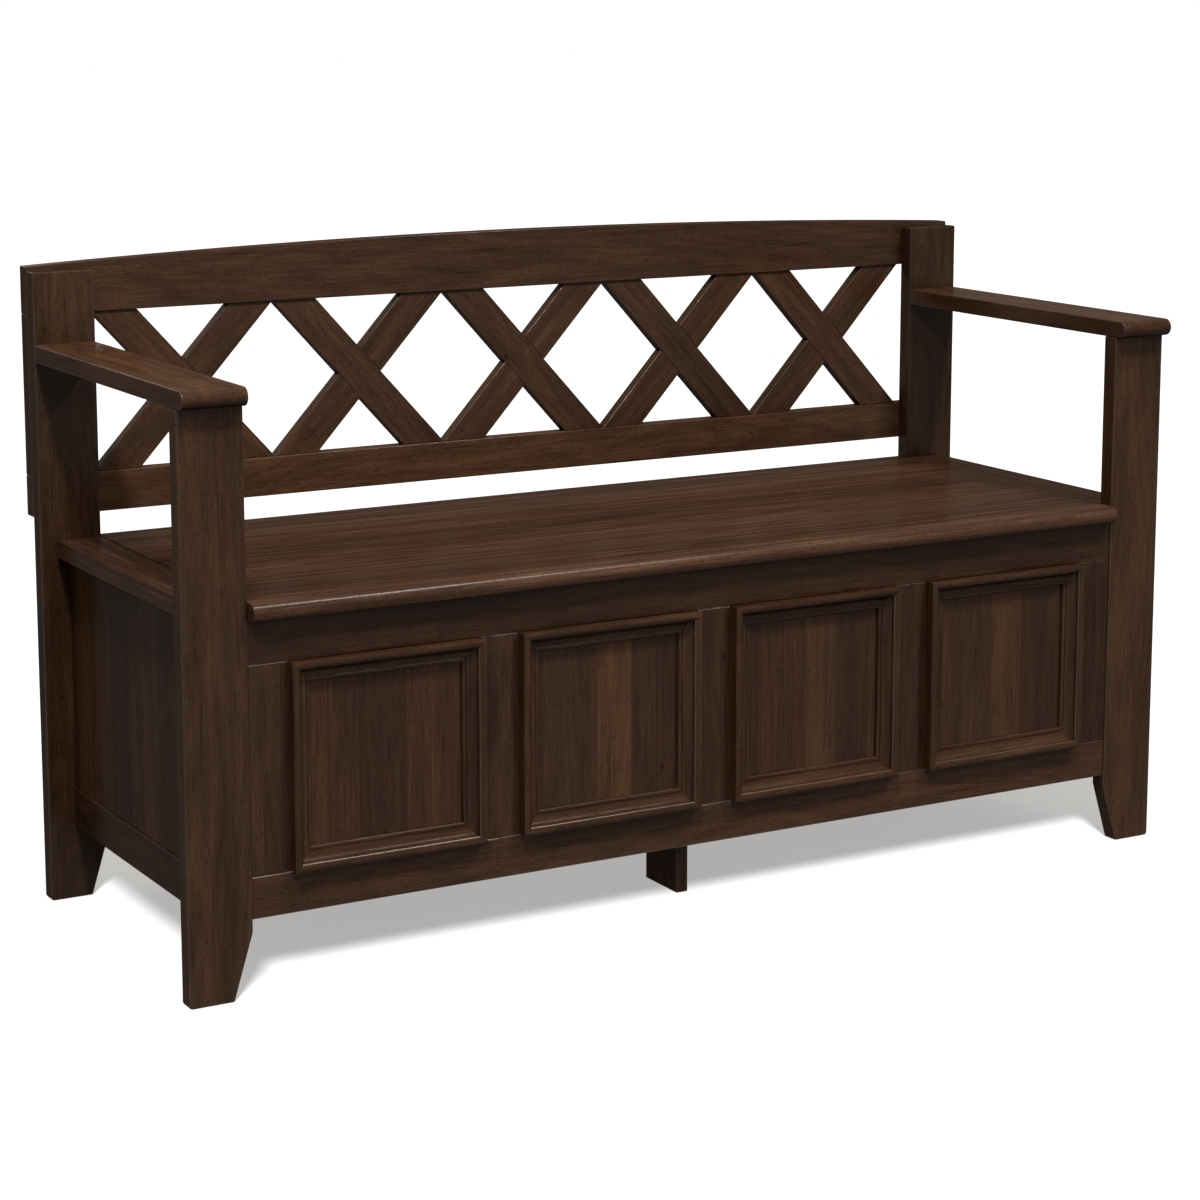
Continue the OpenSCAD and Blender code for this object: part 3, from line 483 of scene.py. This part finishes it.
def growLattice():
    tree, size, sockets = newTree("latticeSlats", lattice)
    run = addNode(tree, "ShaderNodeMath", {"operation": "SUBTRACT"},
                  {0: size["Pitch"], 1: size["Slat Width"]}).outputs[0]
    slope = addNode(tree, "ShaderNodeMath", {"operation": "ARCTAN2"},
                    {0: run, 1: size["Height"]}).outputs[0]
    step = addNode(tree, "ShaderNodeCombineXYZ", None, {0: size["Pitch"]}).outputs[0]
    both = addNode(tree, "GeometryNodeJoinGeometry")
    for rise in (False, True):
        # half lapped: the rising slat loses its front half at the crossing, the falling one its back
        low, high = (-0.5, 0.5) if rise else (0.5, 1.5)
        lapped = addNode(tree, "GeometryNodeMeshBoolean", {"operation": "DIFFERENCE", "solver": "EXACT"},
                         {"Mesh 1": slatBlock(tree, size, rise, 0.0, 1.0),
                          "Mesh 2": slatBlock(tree, size, not rise, low, high)}).outputs[0]
        # grain runs along the slat, so the position is turned by its lean
        angle = addNode(tree, "ShaderNodeMath", {"operation": "MULTIPLY"},
                        {0: slope, 1: -1.0 if rise else 1.0}).outputs[0]
        at = addNode(tree, "GeometryNodeInputPosition").outputs[0]
        turned = addNode(tree, "ShaderNodeVectorRotate", {"rotation_type": "Y_AXIS"},
                         {0: at, "Angle": angle}).outputs[0]
        grained = storeGrain(tree, lapped, turned)
        row = addNode(tree, "GeometryNodeMeshLine", None, {"Count": size["Crosses"], "Offset": step})
        placed = addNode(tree, "GeometryNodeInstanceOnPoints", None,
                         {"Points": row.outputs[0], "Instance": grained}).outputs[0]
        seed = addNode(tree, "ShaderNodeMath", {"operation": "ADD"},
                       {0: size["Seed"], 1: float(rise)}).outputs[0]
        number = addNode(tree, "FunctionNodeRandomValue", {"data_type": "FLOAT"},
                         {2: 0.4, 3: 0.6, "Seed": seed}).outputs[1]
        slats = addNode(tree, "GeometryNodeStoreNamedAttribute",
                        {"data_type": "FLOAT", "domain": "INSTANCE"},
                        {"Geometry": placed, "Name": "board", "Value": number}).outputs[0]
        tree.links.new(slats, both.inputs[0])
    field = addNode(tree, "ShaderNodeCombineXYZ", None,
                    {0: size["Pitch"], 1: 0.0, 2: size["Height"]}).outputs[0]
    middle = addNode(tree, "ShaderNodeVectorMath", {"operation": "SCALE"},
                     {0: field, "Scale": 0.5}).outputs[0]
    start = addNode(tree, "ShaderNodeVectorMath", {"operation": "ADD"},
                    {0: size["First"], 1: middle}).outputs[0]
    put = addNode(tree, "GeometryNodeTransform", None,
                  {"Geometry": both.outputs[0], "Translation": start}).outputs[0]
    endTree(tree, put, size["Material"])
    piece = growTree("lattice_slats", tree, sockets, lattice)
    easeEdges(piece, 1.0 * mm, 0)
    plainMesh(piece, 0)
    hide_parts(*[f"slat_{way}_{i}" for way in ("falling", "rising") for i in range(1, 6)])
    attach(piece, "root")


growLattice()
print("lattice grown")


stiles = {
    "Stiles": 5,
    "Pitch": 270.25 * mm,
    "First": (-540.5 * mm, -211.5 * mm, 242.5 * mm),
    "Size": (45 * mm, 19 * mm, 225 * mm),
    "Seed": 3,
    "Material": frameWood,
}


def growStiles():
    tree, size, sockets = newTree("frontStiles", stiles)
    stick = addNode(tree, "GeometryNodeMeshCube", None, {"Size": size["Size"]}).outputs[0]
    grained = storeGrain(tree, stick, addNode(tree, "GeometryNodeInputPosition").outputs[0])
    step = addNode(tree, "ShaderNodeCombineXYZ", None, {0: size["Pitch"]}).outputs[0]
    row = addNode(tree, "GeometryNodeMeshLine", None,
                  {"Count": size["Stiles"], "Start Location": size["First"], "Offset": step})
    placed = addNode(tree, "GeometryNodeInstanceOnPoints", None,
                     {"Points": row.outputs[0], "Instance": grained}).outputs[0]
    number = addNode(tree, "FunctionNodeRandomValue", {"data_type": "FLOAT"},
                     {2: 0.47, 3: 0.53, "Seed": size["Seed"]}).outputs[1]
    place = addNode(tree, "GeometryNodeInputIndex").outputs[0]  # painted shade: each stile is darker than the last, so the front darkens towards its right end
    number = addNode(tree, "ShaderNodeMath", {"operation": "MULTIPLY_ADD"},
                     {0: place, 1: -0.08, 2: number}).outputs[0]
    marked = addNode(tree, "GeometryNodeStoreNamedAttribute",
                     {"data_type": "FLOAT", "domain": "INSTANCE"},
                     {"Geometry": placed, "Name": "board", "Value": number}).outputs[0]
    endTree(tree, marked, size["Material"], False)
    piece = growTree("front_stiles", tree, sockets, stiles)
    easeEdges(piece, 0.9 * mm, 0, 1)
    plainMesh(piece, 0, 1.0)
    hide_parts(*[f"front_stile_{i}" for i in range(1, 6)])
    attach(piece, "root")


growStiles()
print("stiles grown")


moulding = {  # the section's sizes in mm
    "width": 24,
    "deep": 16,
    "round": 7,  # radius of the band's round face
    "facet": 1.0,  # leans back by 45 degrees above the cove
    "bead": 4,
    "lip": 4,
    "quirk": 0.7,  # the sunk line beside the bead
    "gap": 0.8,  # the shadow gap beside the frame
}
mouldingRun = {
    "Panels": 4,
    "Pitch": 270.25 * mm,
    "First": (-518 * mm, -218 * mm, 130 * mm),
    "Opening Width": 225.25 * mm,
    "Opening Height": 225 * mm,
    "Seed": 11,
    "Material": frameWood,
}


def mouldingSection():  # the outline in mm, from the outer edge inwards and from the panel outwards
    m = moulding
    points = [(0, 0), (0, 1.5), (m["gap"], 1.8), (m["gap"], 5), (0, 5.8)]
    for step in range(11):  # the round face, from 30 degrees outside its middle to 40 inside
        a = math.radians(-30 + 7 * step)
        points.append((m["round"] * (0.5 + math.sin(a)), m["deep"] - m["round"] * (1 - math.cos(a))))
    x, y = points[-1]
    start = Vector((x + 0.707 * m["facet"], y - 0.707 * m["facet"]))
    bead = m["width"] - m["bead"]
    end = Vector((bead - m["quirk"], m["lip"] + 0.3))
    for step in range(15):  # the cove, a quarter round
        a = math.pi / 2 * step / 14
        points.append((end.x - (end.x - start.x) * math.cos(a),
                       start.y - (start.y - end.y) * math.sin(a)))
    points += [(bead - m["quirk"], m["lip"] - 1), (bead, m["lip"] - 1), (bead, m["lip"] - 0.4),
               (bead + 0.4, m["lip"]), (m["width"] - 0.9, m["lip"]),
               (m["width"], m["lip"] - 0.9), (m["width"], 0)]
    return [(x * mm, -y * mm, 0.0) for x, y in points]


def sectionCurve():
    outline = bpy.data.curves.new("mouldingSection", "CURVE")
    outline.dimensions = "3D"
    spline = outline.splines.new("POLY")
    section = mouldingSection()
    spline.points.add(len(section) - 1)
    for point, place in zip(spline.points, section):
        point.co = (*place, 1.0)
    spline.use_cyclic_u = True
    return addObject("mouldingSection", outline)


def mitredStick(tree, size, shape, label):  # stands along Z, cut back by its own width at both ends
    top = addNode(tree, "ShaderNodeCombineXYZ", None, {2: size[label]}).outputs[0]
    line = addNode(tree, "GeometryNodeCurvePrimitiveLine", None, {"End": top}).outputs[0]
    stick = addNode(tree, "GeometryNodeCurveToMesh", None,
                    {"Curve": line, "Profile Curve": shape, "Fill Caps": True}).outputs[0]
    at = addNode(tree, "GeometryNodeInputPosition").outputs[0]
    spot = addNode(tree, "ShaderNodeSeparateXYZ", None, {0: at})
    share = addNode(tree, "ShaderNodeMath", {"operation": "DIVIDE"},
                    {0: spot.outputs["Z"], 1: size[label]}).outputs[0]
    pull = addNode(tree, "ShaderNodeMath", {"operation": "MULTIPLY_ADD"},
                   {0: share, 1: -2.0, 2: 1.0}).outputs[0]
    slide = addNode(tree, "ShaderNodeMath", {"operation": "MULTIPLY"},
                    {0: pull, 1: spot.outputs["X"]}).outputs[0]
    # the middle of the facet, where rubbing has polished it
    facetAt = (moulding["round"] * (0.5 + math.sin(math.radians(40))) + 0.354 * moulding["facet"]) * mm
    facet = addNode(tree, "ShaderNodeMath", {"operation": "COMPARE"},
                    {0: spot.outputs["X"], 1: facetAt, 2: 0.25 * mm}).outputs[0]
    rubbed = addNode(tree, "GeometryNodeStoreNamedAttribute",
                     {"data_type": "FLOAT", "domain": "FACE"},
                     {"Geometry": stick, "Name": "arris", "Value": facet}).outputs[0]
    move = addNode(tree, "ShaderNodeCombineXYZ", None, {2: slide}).outputs[0]
    return addNode(tree, "GeometryNodeSetPosition", None,
                   {"Geometry": rubbed, "Offset": move}).outputs[0]


def growMouldings():
    profile = sectionCurve()
    tree, size, sockets = newTree("panelMouldings", mouldingRun)
    shape = addNode(tree, "GeometryNodeObjectInfo", {"transform_space": "ORIGINAL"}, {"Object": profile})
    opening = addNode(tree, "ShaderNodeCombineXYZ", None,
                      {0: size["Opening Width"], 2: size["Opening Height"]}).outputs[0]
    joined = addNode(tree, "GeometryNodeJoinGeometry")
    # each stick stands up as it is cut, then turns into its place round the opening
    for label, turn, corner, board in (("Opening Height", 0.0, (0, 0), 0.11),
                                       ("Opening Width", math.pi / 2, (0, 1), 0.37),
                                       ("Opening Height", math.pi, (1, 1), 0.59),
                                       ("Opening Width", -math.pi / 2, (1, 0), 0.83)):
        mitred = mitredStick(tree, size, shape.outputs["Geometry"], label)
        grained = storeGrain(tree, mitred, addNode(tree, "GeometryNodeInputPosition").outputs[0])
        marked = addNode(tree, "GeometryNodeStoreNamedAttribute",
                         {"data_type": "FLOAT", "domain": "POINT"},
                         {"Geometry": grained, "Name": "stick", "Value": board}).outputs[0]
        reach = addNode(tree, "ShaderNodeVectorMath", {"operation": "MULTIPLY"},
                        {0: opening, 1: (corner[0], 0, corner[1])}).outputs[0]
        side = addNode(tree, "GeometryNodeTransform", None,
                       {"Geometry": marked, "Translation": reach, "Rotation": (0, turn, 0)}).outputs[0]
        tree.links.new(side, joined.inputs[0])
    step = addNode(tree, "ShaderNodeCombineXYZ", None, {0: size["Pitch"]}).outputs[0]
    row = addNode(tree, "GeometryNodeMeshLine", None,
                  {"Count": size["Panels"], "Start Location": size["First"], "Offset": step})
    placed = addNode(tree, "GeometryNodeInstanceOnPoints", None,
                     {"Points": row.outputs[0], "Instance": joined.outputs[0]}).outputs[0]
    number = addNode(tree, "FunctionNodeRandomValue", {"data_type": "FLOAT"},
                     {"Seed": size["Seed"]}).outputs[1]
    marked = addNode(tree, "GeometryNodeStoreNamedAttribute",
                     {"data_type": "FLOAT", "domain": "INSTANCE"},
                     {"Geometry": placed, "Name": "panel", "Value": number}).outputs[0]
    real = addNode(tree, "GeometryNodeRealizeInstances", None, {"Geometry": marked}).outputs[0]
    # the stick's and the panel's numbers together give the board's
    stick, panel = (addNode(tree, "GeometryNodeInputNamedAttribute", {"data_type": "FLOAT"},
                            {"Name": name}).outputs[0] for name in ("stick", "panel"))
    total = addNode(tree, "ShaderNodeMath", {"operation": "ADD"}, {0: stick, 1: panel}).outputs[0]
    total = addNode(tree, "ShaderNodeMath", {"operation": "FRACT"}, {0: total}).outputs[0]
    board = addNode(tree, "ShaderNodeMapRange", None,
                    {"Value": total, 1: 0.0, 2: 1.0, 3: 0.4, 4: 0.6}).outputs[0]
    numbered = addNode(tree, "GeometryNodeStoreNamedAttribute",
                       {"data_type": "FLOAT", "domain": "POINT"},
                       {"Geometry": real, "Name": "board", "Value": board}).outputs[0]
    endTree(tree, numbered, size["Material"])
    piece = growTree("panel_mouldings", tree, sockets, mouldingRun)
    plainMesh(piece)
    bpy.data.objects.remove(profile)
    mesh = piece.data
    mesh.shade_smooth()
    mesh.set_sharp_from_angle(angle=math.radians(7.8))  # the facet stays flat between band and cove
    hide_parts(*[f"panel_moulding_{i}" for i in range(1, 5)])
    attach(piece, "root")


growMouldings()
print("mouldings grown")


screw = {
    "head": 6.4,  # mm across
    "high": 1.2,
    "cross": 3.6,  # length of the recess's arms, end to end
    "slot": 1.0,
    "deep": 0.7,
    "recess": (0.4, 0.85),  # its floor's rings, as shares of the recess
    "rim": 0.98,
    "dome": ((0.72, 0.9), (0.9, 0.66), (0.985, 0.3), (1.0, 0.0)),  # shares of radius and height
    "turns": 48,
    "seed": 5,
}
leafScrew = dict(screw, high=0.12, deep=0.1)  # sunk in the hinge leaves, so almost flush
screwSpots = {  # in mm
    "hinges": (-401.5, 0.0, 401.5),  # X of their middles
    "leafY": 207.6,
    "railLeafZ": 400.6,
    "railHoles": (-22, 0, 22),
    "lidLeafZ": 400.9,
    "lidHoles": (-12, 12),
    "battenY": (-150, -50, 50, 145),
    "battenZ": 383,
    # X, both Y, and Z
    "studPlate": (564, (63.45, 85.45), 356.24),
    "foot": (20, (-117, -83), 102),
    "bracket": (541, (59.33, 77.33), 399),
}


def screwHead(sizes):  # a low domed head with a cross recess
    head = bpy.data.meshes.new("screwHead")
    wide, high = sizes["head"] / 2, sizes["high"]
    floor = high - sizes["deep"]
    points = []
    for number in range(sizes["turns"]):
        turn = 2 * math.pi * number / sizes["turns"]
        lean = (turn + math.pi / 4) % (math.pi / 2) - math.pi / 4  # from the nearest arm of the cross
        reach = min(sizes["cross"] / 2, sizes["slot"] / 2 / max(abs(math.sin(lean)), 0.01))
        ring = [(reach * share, floor) for share in sizes["recess"]] + [(reach, high * sizes["rim"])]
        ring += [(wide * out, high * up) for out, up in sizes["dome"]]
        points += [(r * math.cos(turn) * mm, r * math.sin(turn) * mm, z * mm) for r, z in ring]
    points += [(0.0, 0.0, floor * mm), (0.0, 0.0, 0.0)]
    count, deep = sizes["turns"], len(ring)
    here = [i * deep for i in range(count)]
    beside = here[1:] + here[:1]
    faces = [(a + k, a + k + 1, b + k + 1, b + k) for a, b in zip(here, beside) for k in range(deep - 1)]
    faces += [(count * deep, a, b) for a, b in zip(here, beside)]
    faces += [(count * deep + 1, b + deep - 1, a + deep - 1) for a, b in zip(here, beside)]
    head.from_pydata(points, [], faces)
    return addObject("screwHead", head)


def driveScrews(name, body, material, kinds):  # kinds: heads, with their places and facings
    sizes = {"Seed": screw["seed"], "Material": material}
    tree, size, sockets = newTree(name, sizes)
    joined = addNode(tree, "GeometryNodeJoinGeometry")
    helpers = []
    for headSizes, spots in kinds:
        marks = bpy.data.meshes.new("screwSpots")
        marks.from_pydata([[c * mm for c in place] for place, facing in spots], [], [])
        ways = marks.attributes.new("facing", "FLOAT_VECTOR", "POINT")
        ways.data.foreach_set("vector", [float(c) for place, facing in spots for c in facing])
        head, row = screwHead(headSizes), addObject("screwSpots", marks)
        helpers += [head, row]
        heads, rows = (addNode(tree, "GeometryNodeObjectInfo", {"transform_space": "ORIGINAL"},
                               {"Object": helper}).outputs["Geometry"] for helper in (head, row))
        facing = addNode(tree, "GeometryNodeInputNamedAttribute", {"data_type": "FLOAT_VECTOR"},
                         {"Name": "facing"}).outputs[0]
        turned = addNode(tree, "FunctionNodeAlignEulerToVector", {"axis": "Z"},
                         {"Vector": facing}).outputs[0]
        screwed = addNode(tree, "GeometryNodeInstanceOnPoints", None,
                          {"Points": rows, "Instance": heads, "Rotation": turned}).outputs[0]
        # each screw stopped at its own turn, up to a quarter round
        spin = addNode(tree, "FunctionNodeRandomValue", {"data_type": "FLOAT"},
                       {3: 1.57, "Seed": size["Seed"]}).outputs[1]
        spin = addNode(tree, "ShaderNodeCombineXYZ", None, {2: spin}).outputs[0]
        spun = addNode(tree, "GeometryNodeRotateInstances", None,
                       {"Instances": screwed, "Rotation": spin}).outputs[0]
        tree.links.new(spun, joined.inputs[0])
    endTree(tree, joined.outputs[0], size["Material"], False)
    piece = growTree(name, tree, sockets, sizes)
    plainMesh(piece)
    for helper in helpers:
        bpy.data.objects.remove(helper)
    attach(piece, body)


def driveAllScrews():
    at = screwSpots
    up, down = (0, 0, 1), (0, 0, -1)
    railLeaf = [((x + dx, at["leafY"], at["railLeafZ"]), up)
                for x in at["hinges"] for dx in at["railHoles"]]
    lidLeaf = [((x + dx, at["leafY"], at["lidLeafZ"]), down)
               for x in at["hinges"] for dx in at["lidHoles"]]
    battens = [((x, y, at["battenZ"]), down) for x in at["hinges"] for y in at["battenY"]]
    x, ys, z = at["studPlate"]
    plates = [((side * x, y, z), (-side, 0, 0)) for side in (-1, 1) for y in ys]
    x, ys, z = at["foot"]
    foot = [((x, y, z), (1, 0, 0)) for y in ys]
    x, ys, z = at["bracket"]
    brackets = [((side * x, y, z), down) for side in (-1, 1) for y in ys]
    driveScrews("hinge_rail_screws", "root", hingeSteel, [(leafScrew, railLeaf)])
    driveScrews("lid_screws", "lid", hingeSteel, [(leafScrew, lidLeaf), (screw, battens)])
    driveScrews("frame_screws", "root", staySteel, [(screw, plates), (screw, foot)])
    driveScrews("bracket_screws", "lid", staySteel, [(screw, brackets)])


driveAllScrews()
print("screws driven")


hardware = {
    "hinge_rail_leaves": hingeSteel,
    "hinge_pins": hingeSteel,
    "hinge_lid_leaves": hingeSteel,
    "stay_studs": staySteel,
    "stay_brackets": staySteel,
    "stay_arm_left": staySteel,
    "stay_arm_right": staySteel,
}
for node, material in hardware.items():
    mesh = frame["nodes"][node].data
    mesh.materials.clear()
    mesh.materials.append(material)
print("hardware finished")


def seenOrMirrored(tree):  # 1 where the camera, a mirror or glass looks, and 1 for the camera alone
    ray = addNode(tree, "ShaderNodeLightPath")
    seen = addNode(tree, "ShaderNodeMath", {"operation": "MAXIMUM"},
                   {0: ray.outputs["Is Camera Ray"], 1: ray.outputs["Is Glossy Ray"]}).outputs[0]
    seen = addNode(tree, "ShaderNodeMath", {"operation": "MAXIMUM"},
                   {0: seen, 1: ray.outputs["Is Transmission Ray"]}).outputs[0]
    return seen, ray.outputs["Is Camera Ray"]


backdrop = {
    "half": 30.0,  # of the floor's side, in metres
    "glow": 0.4,  # added to the floor where it is seen
    "low": 0.1,  # light from straight below and straight above
    "high": 0.5,
    "tint": (1.0, 0.94, 0.83, 1.0),  # warm, in linear values
}


def paleFloor():
    h = backdrop["half"]
    mesh = bpy.data.meshes.new("paleFloor")
    mesh.from_pydata([(-h, -h, 0), (h, -h, 0), (h, h, 0), (-h, h, 0)], [], [(0, 1, 2, 3)])
    floor = addObject("paleFloor", mesh)
    material, tree, shader = newMaterial("paleStudioFloor")
    tree.nodes.remove(shader)
    seen = seenOrMirrored(tree)[0]
    matt = addNode(tree, "ShaderNodeBsdfDiffuse", None, {"Color": linearHex("#bfbfbf")}).outputs[0]
    level = addNode(tree, "ShaderNodeMath", {"operation": "MULTIPLY"},
                    {0: seen, 1: backdrop["glow"]}).outputs[0]
    glow = addNode(tree, "ShaderNodeEmission", None, {"Strength": level}).outputs[0]
    total = addNode(tree, "ShaderNodeAddShader", None, {0: matt, 1: glow}).outputs[0]
    out = [n for n in tree.nodes if n.type == "OUTPUT_MATERIAL"][0]
    tree.links.new(total, out.inputs["Surface"])
    mesh.materials.append(material)
    floor.visible_diffuse = False  # it throws no light up, so the undersides stay dark
    return floor


def sunLamp(name, azimuth, elevation, strength, spread):  # azimuth 0 is the front, 90 the right end
    lamp = bpy.data.lights.new(name, "SUN")
    lamp.energy, lamp.angle = strength, math.radians(spread)
    lampObject = addObject(name, lamp)
    lampObject.rotation_euler = (math.radians(90 - elevation), 0, math.radians(azimuth))
    return lampObject


def softBox(name, place, target, power, width, spread):  # a square lamp that looks at the target
    lamp = bpy.data.lights.new(name, "AREA")
    lamp.energy, lamp.size, lamp.spread = power, width, math.radians(spread)
    lampObject = addObject(name, lamp)
    lampObject.location = place
    lampObject.rotation_euler = (Vector(target) - Vector(place)).to_track_quat("-Z", "Y").to_euler()
    return lampObject


def linkLamp(lamp, targets, state):  # INCLUDE lights the targets alone, EXCLUDE all but the targets
    group = bpy.data.collections.new(lamp.name + "Reach")
    for target in targets:
        group.objects.link(target)
    lamp.light_linking.receiver_collection = group
    for member in group.collection_objects:
        member.light_linking.link_state = state


suns = {  # azimuth, elevation, strength, spread, and what it lights
    "fillLamp": (-8, 35, 0.9, 30, "bench"),
    "frontLeft": (-39, 57, 2.3, 8, "front"),
    "frontRight": (41, 56, 2.5, 8, "front"),
    "floorLamp": (-29.8, 36.3, 5.7, 10, "floor"),
    "noseLamp": (-5, 12, 0.15, 30, "seat"),
    "backLamp": (176, 9, 1.7, 30, "rest"),
    "noseShine": (64, 61.2, 1.55, 5, "seat"),
    "facetShine": (64, 61.2, 0.6, 5, "front"),
}
boxes = {  # place, what it looks at, power, width, spread, and what it lights
    "boxLeft": ((-0.95, -0.9, 2.25), (-0.45, 0.1, 0.5), 14, 0.15, 90, "rest"),
    "boxRight": ((0.85, -0.9, 2.25), (0, 0, 0.42), 38, 0.15, 180, "rest"),
    "seatLeft": ((-1.2, -1.2, 3.65), (0, 0, 0.42), 50, 0.6, 180, "seat"),
    "seatRight": ((1.05, -1.2, 3.65), (0, 0, 0.42), 50, 0.6, 180, "seat"),
}
seatNames = ["lid_panel_eased", "seat_strip_left_eased", "seat_strip_right_eased"]
frontNames = ["front_leg_left_eased", "front_leg_right_eased", "apron_eased", "front_bottom_rail_eased",
              "front_panel_1_eased", "front_panel_2_eased", "front_panel_3_eased", "front_panel_4_eased",
              "centre_foot_eased", "front_stiles", "panel_mouldings"]


def lightStudio():
    floor = [paleFloor()]
    seat = [bpy.data.objects[name] for name in seatNames]
    front = [bpy.data.objects[name] for name in frontNames]
    groups = {
        "bench": (floor, "EXCLUDE"),
        "floor": (floor, "INCLUDE"),
        "front": (front, "INCLUDE"),
        "seat": (seat, "INCLUDE"),
        "rest": (floor + seat + front, "EXCLUDE"),
    }
    for name, (*values, group) in suns.items():
        lamp = sunLamp(name, *values)
        linkLamp(lamp, *groups[group])
        if name.endswith("Shine"):  # it only draws the bright lines on the seat's nose or the facets
            lamp.visible_diffuse = False
            lamp.data.use_shadow = False
        if name in ("frontLeft", "frontRight"):
            lamp.visible_glossy = False
    for name, (*values, group) in boxes.items():
        linkLamp(softBox(name, *values), *groups[group])


def whiteSurround():  # white where it is seen or mirrored, softer as the light that it gives
    world = bpy.data.worlds.new("whiteSurround")
    scene.world = world
    world.use_nodes = True
    tree = world.node_tree
    tree.nodes.clear()
    seen, byCamera = seenOrMirrored(tree)
    way = addNode(tree, "ShaderNodeTexCoord").outputs["Generated"]
    up = addNode(tree, "ShaderNodeSeparateXYZ", None, {0: way}).outputs["Z"]
    soft = addNode(tree, "ShaderNodeMapRange", None,
                   {"Value": up, 1: -1.0, 2: 1.0, 3: backdrop["low"], 4: backdrop["high"]}).outputs[0]
    level = addNode(tree, "ShaderNodeMapRange", None,
                    {"Value": seen, 1: 0.0, 2: 1.0, 3: soft, 4: 1.0}).outputs[0]
    tint = addNode(tree, "ShaderNodeMix", {"data_type": "RGBA"},
                   {"Factor": byCamera, 6: backdrop["tint"], 7: (1, 1, 1, 1)}).outputs[2]
    sky = addNode(tree, "ShaderNodeBackground", None, {"Color": tint, "Strength": level}).outputs[0]
    addNode(tree, "ShaderNodeOutputWorld", None, {"Surface": sky})


lightStudio()
whiteSurround()

view = {
    "place": (-1.7127, -2.9474, 1.0492),
    "yaw": 29.868,  # degrees from square to the front
    "pitch": -9.45,
    "lens": 88.32,  # mm
    "sensor": 36,
    "shift": -0.11,
    "end": 100,
}
camera = addObject("camera", bpy.data.cameras.new("camera"))
camera.location = view["place"]
camera.rotation_euler = (math.radians(90 + view["pitch"]), 0, math.radians(-view["yaw"]))
camera.data.lens, camera.data.sensor_width = view["lens"], view["sensor"]
camera.data.shift_y, camera.data.clip_end = view["shift"], view["end"]
scene.camera = camera
scene.view_settings.view_transform = "Standard"
print("studio and camera set")
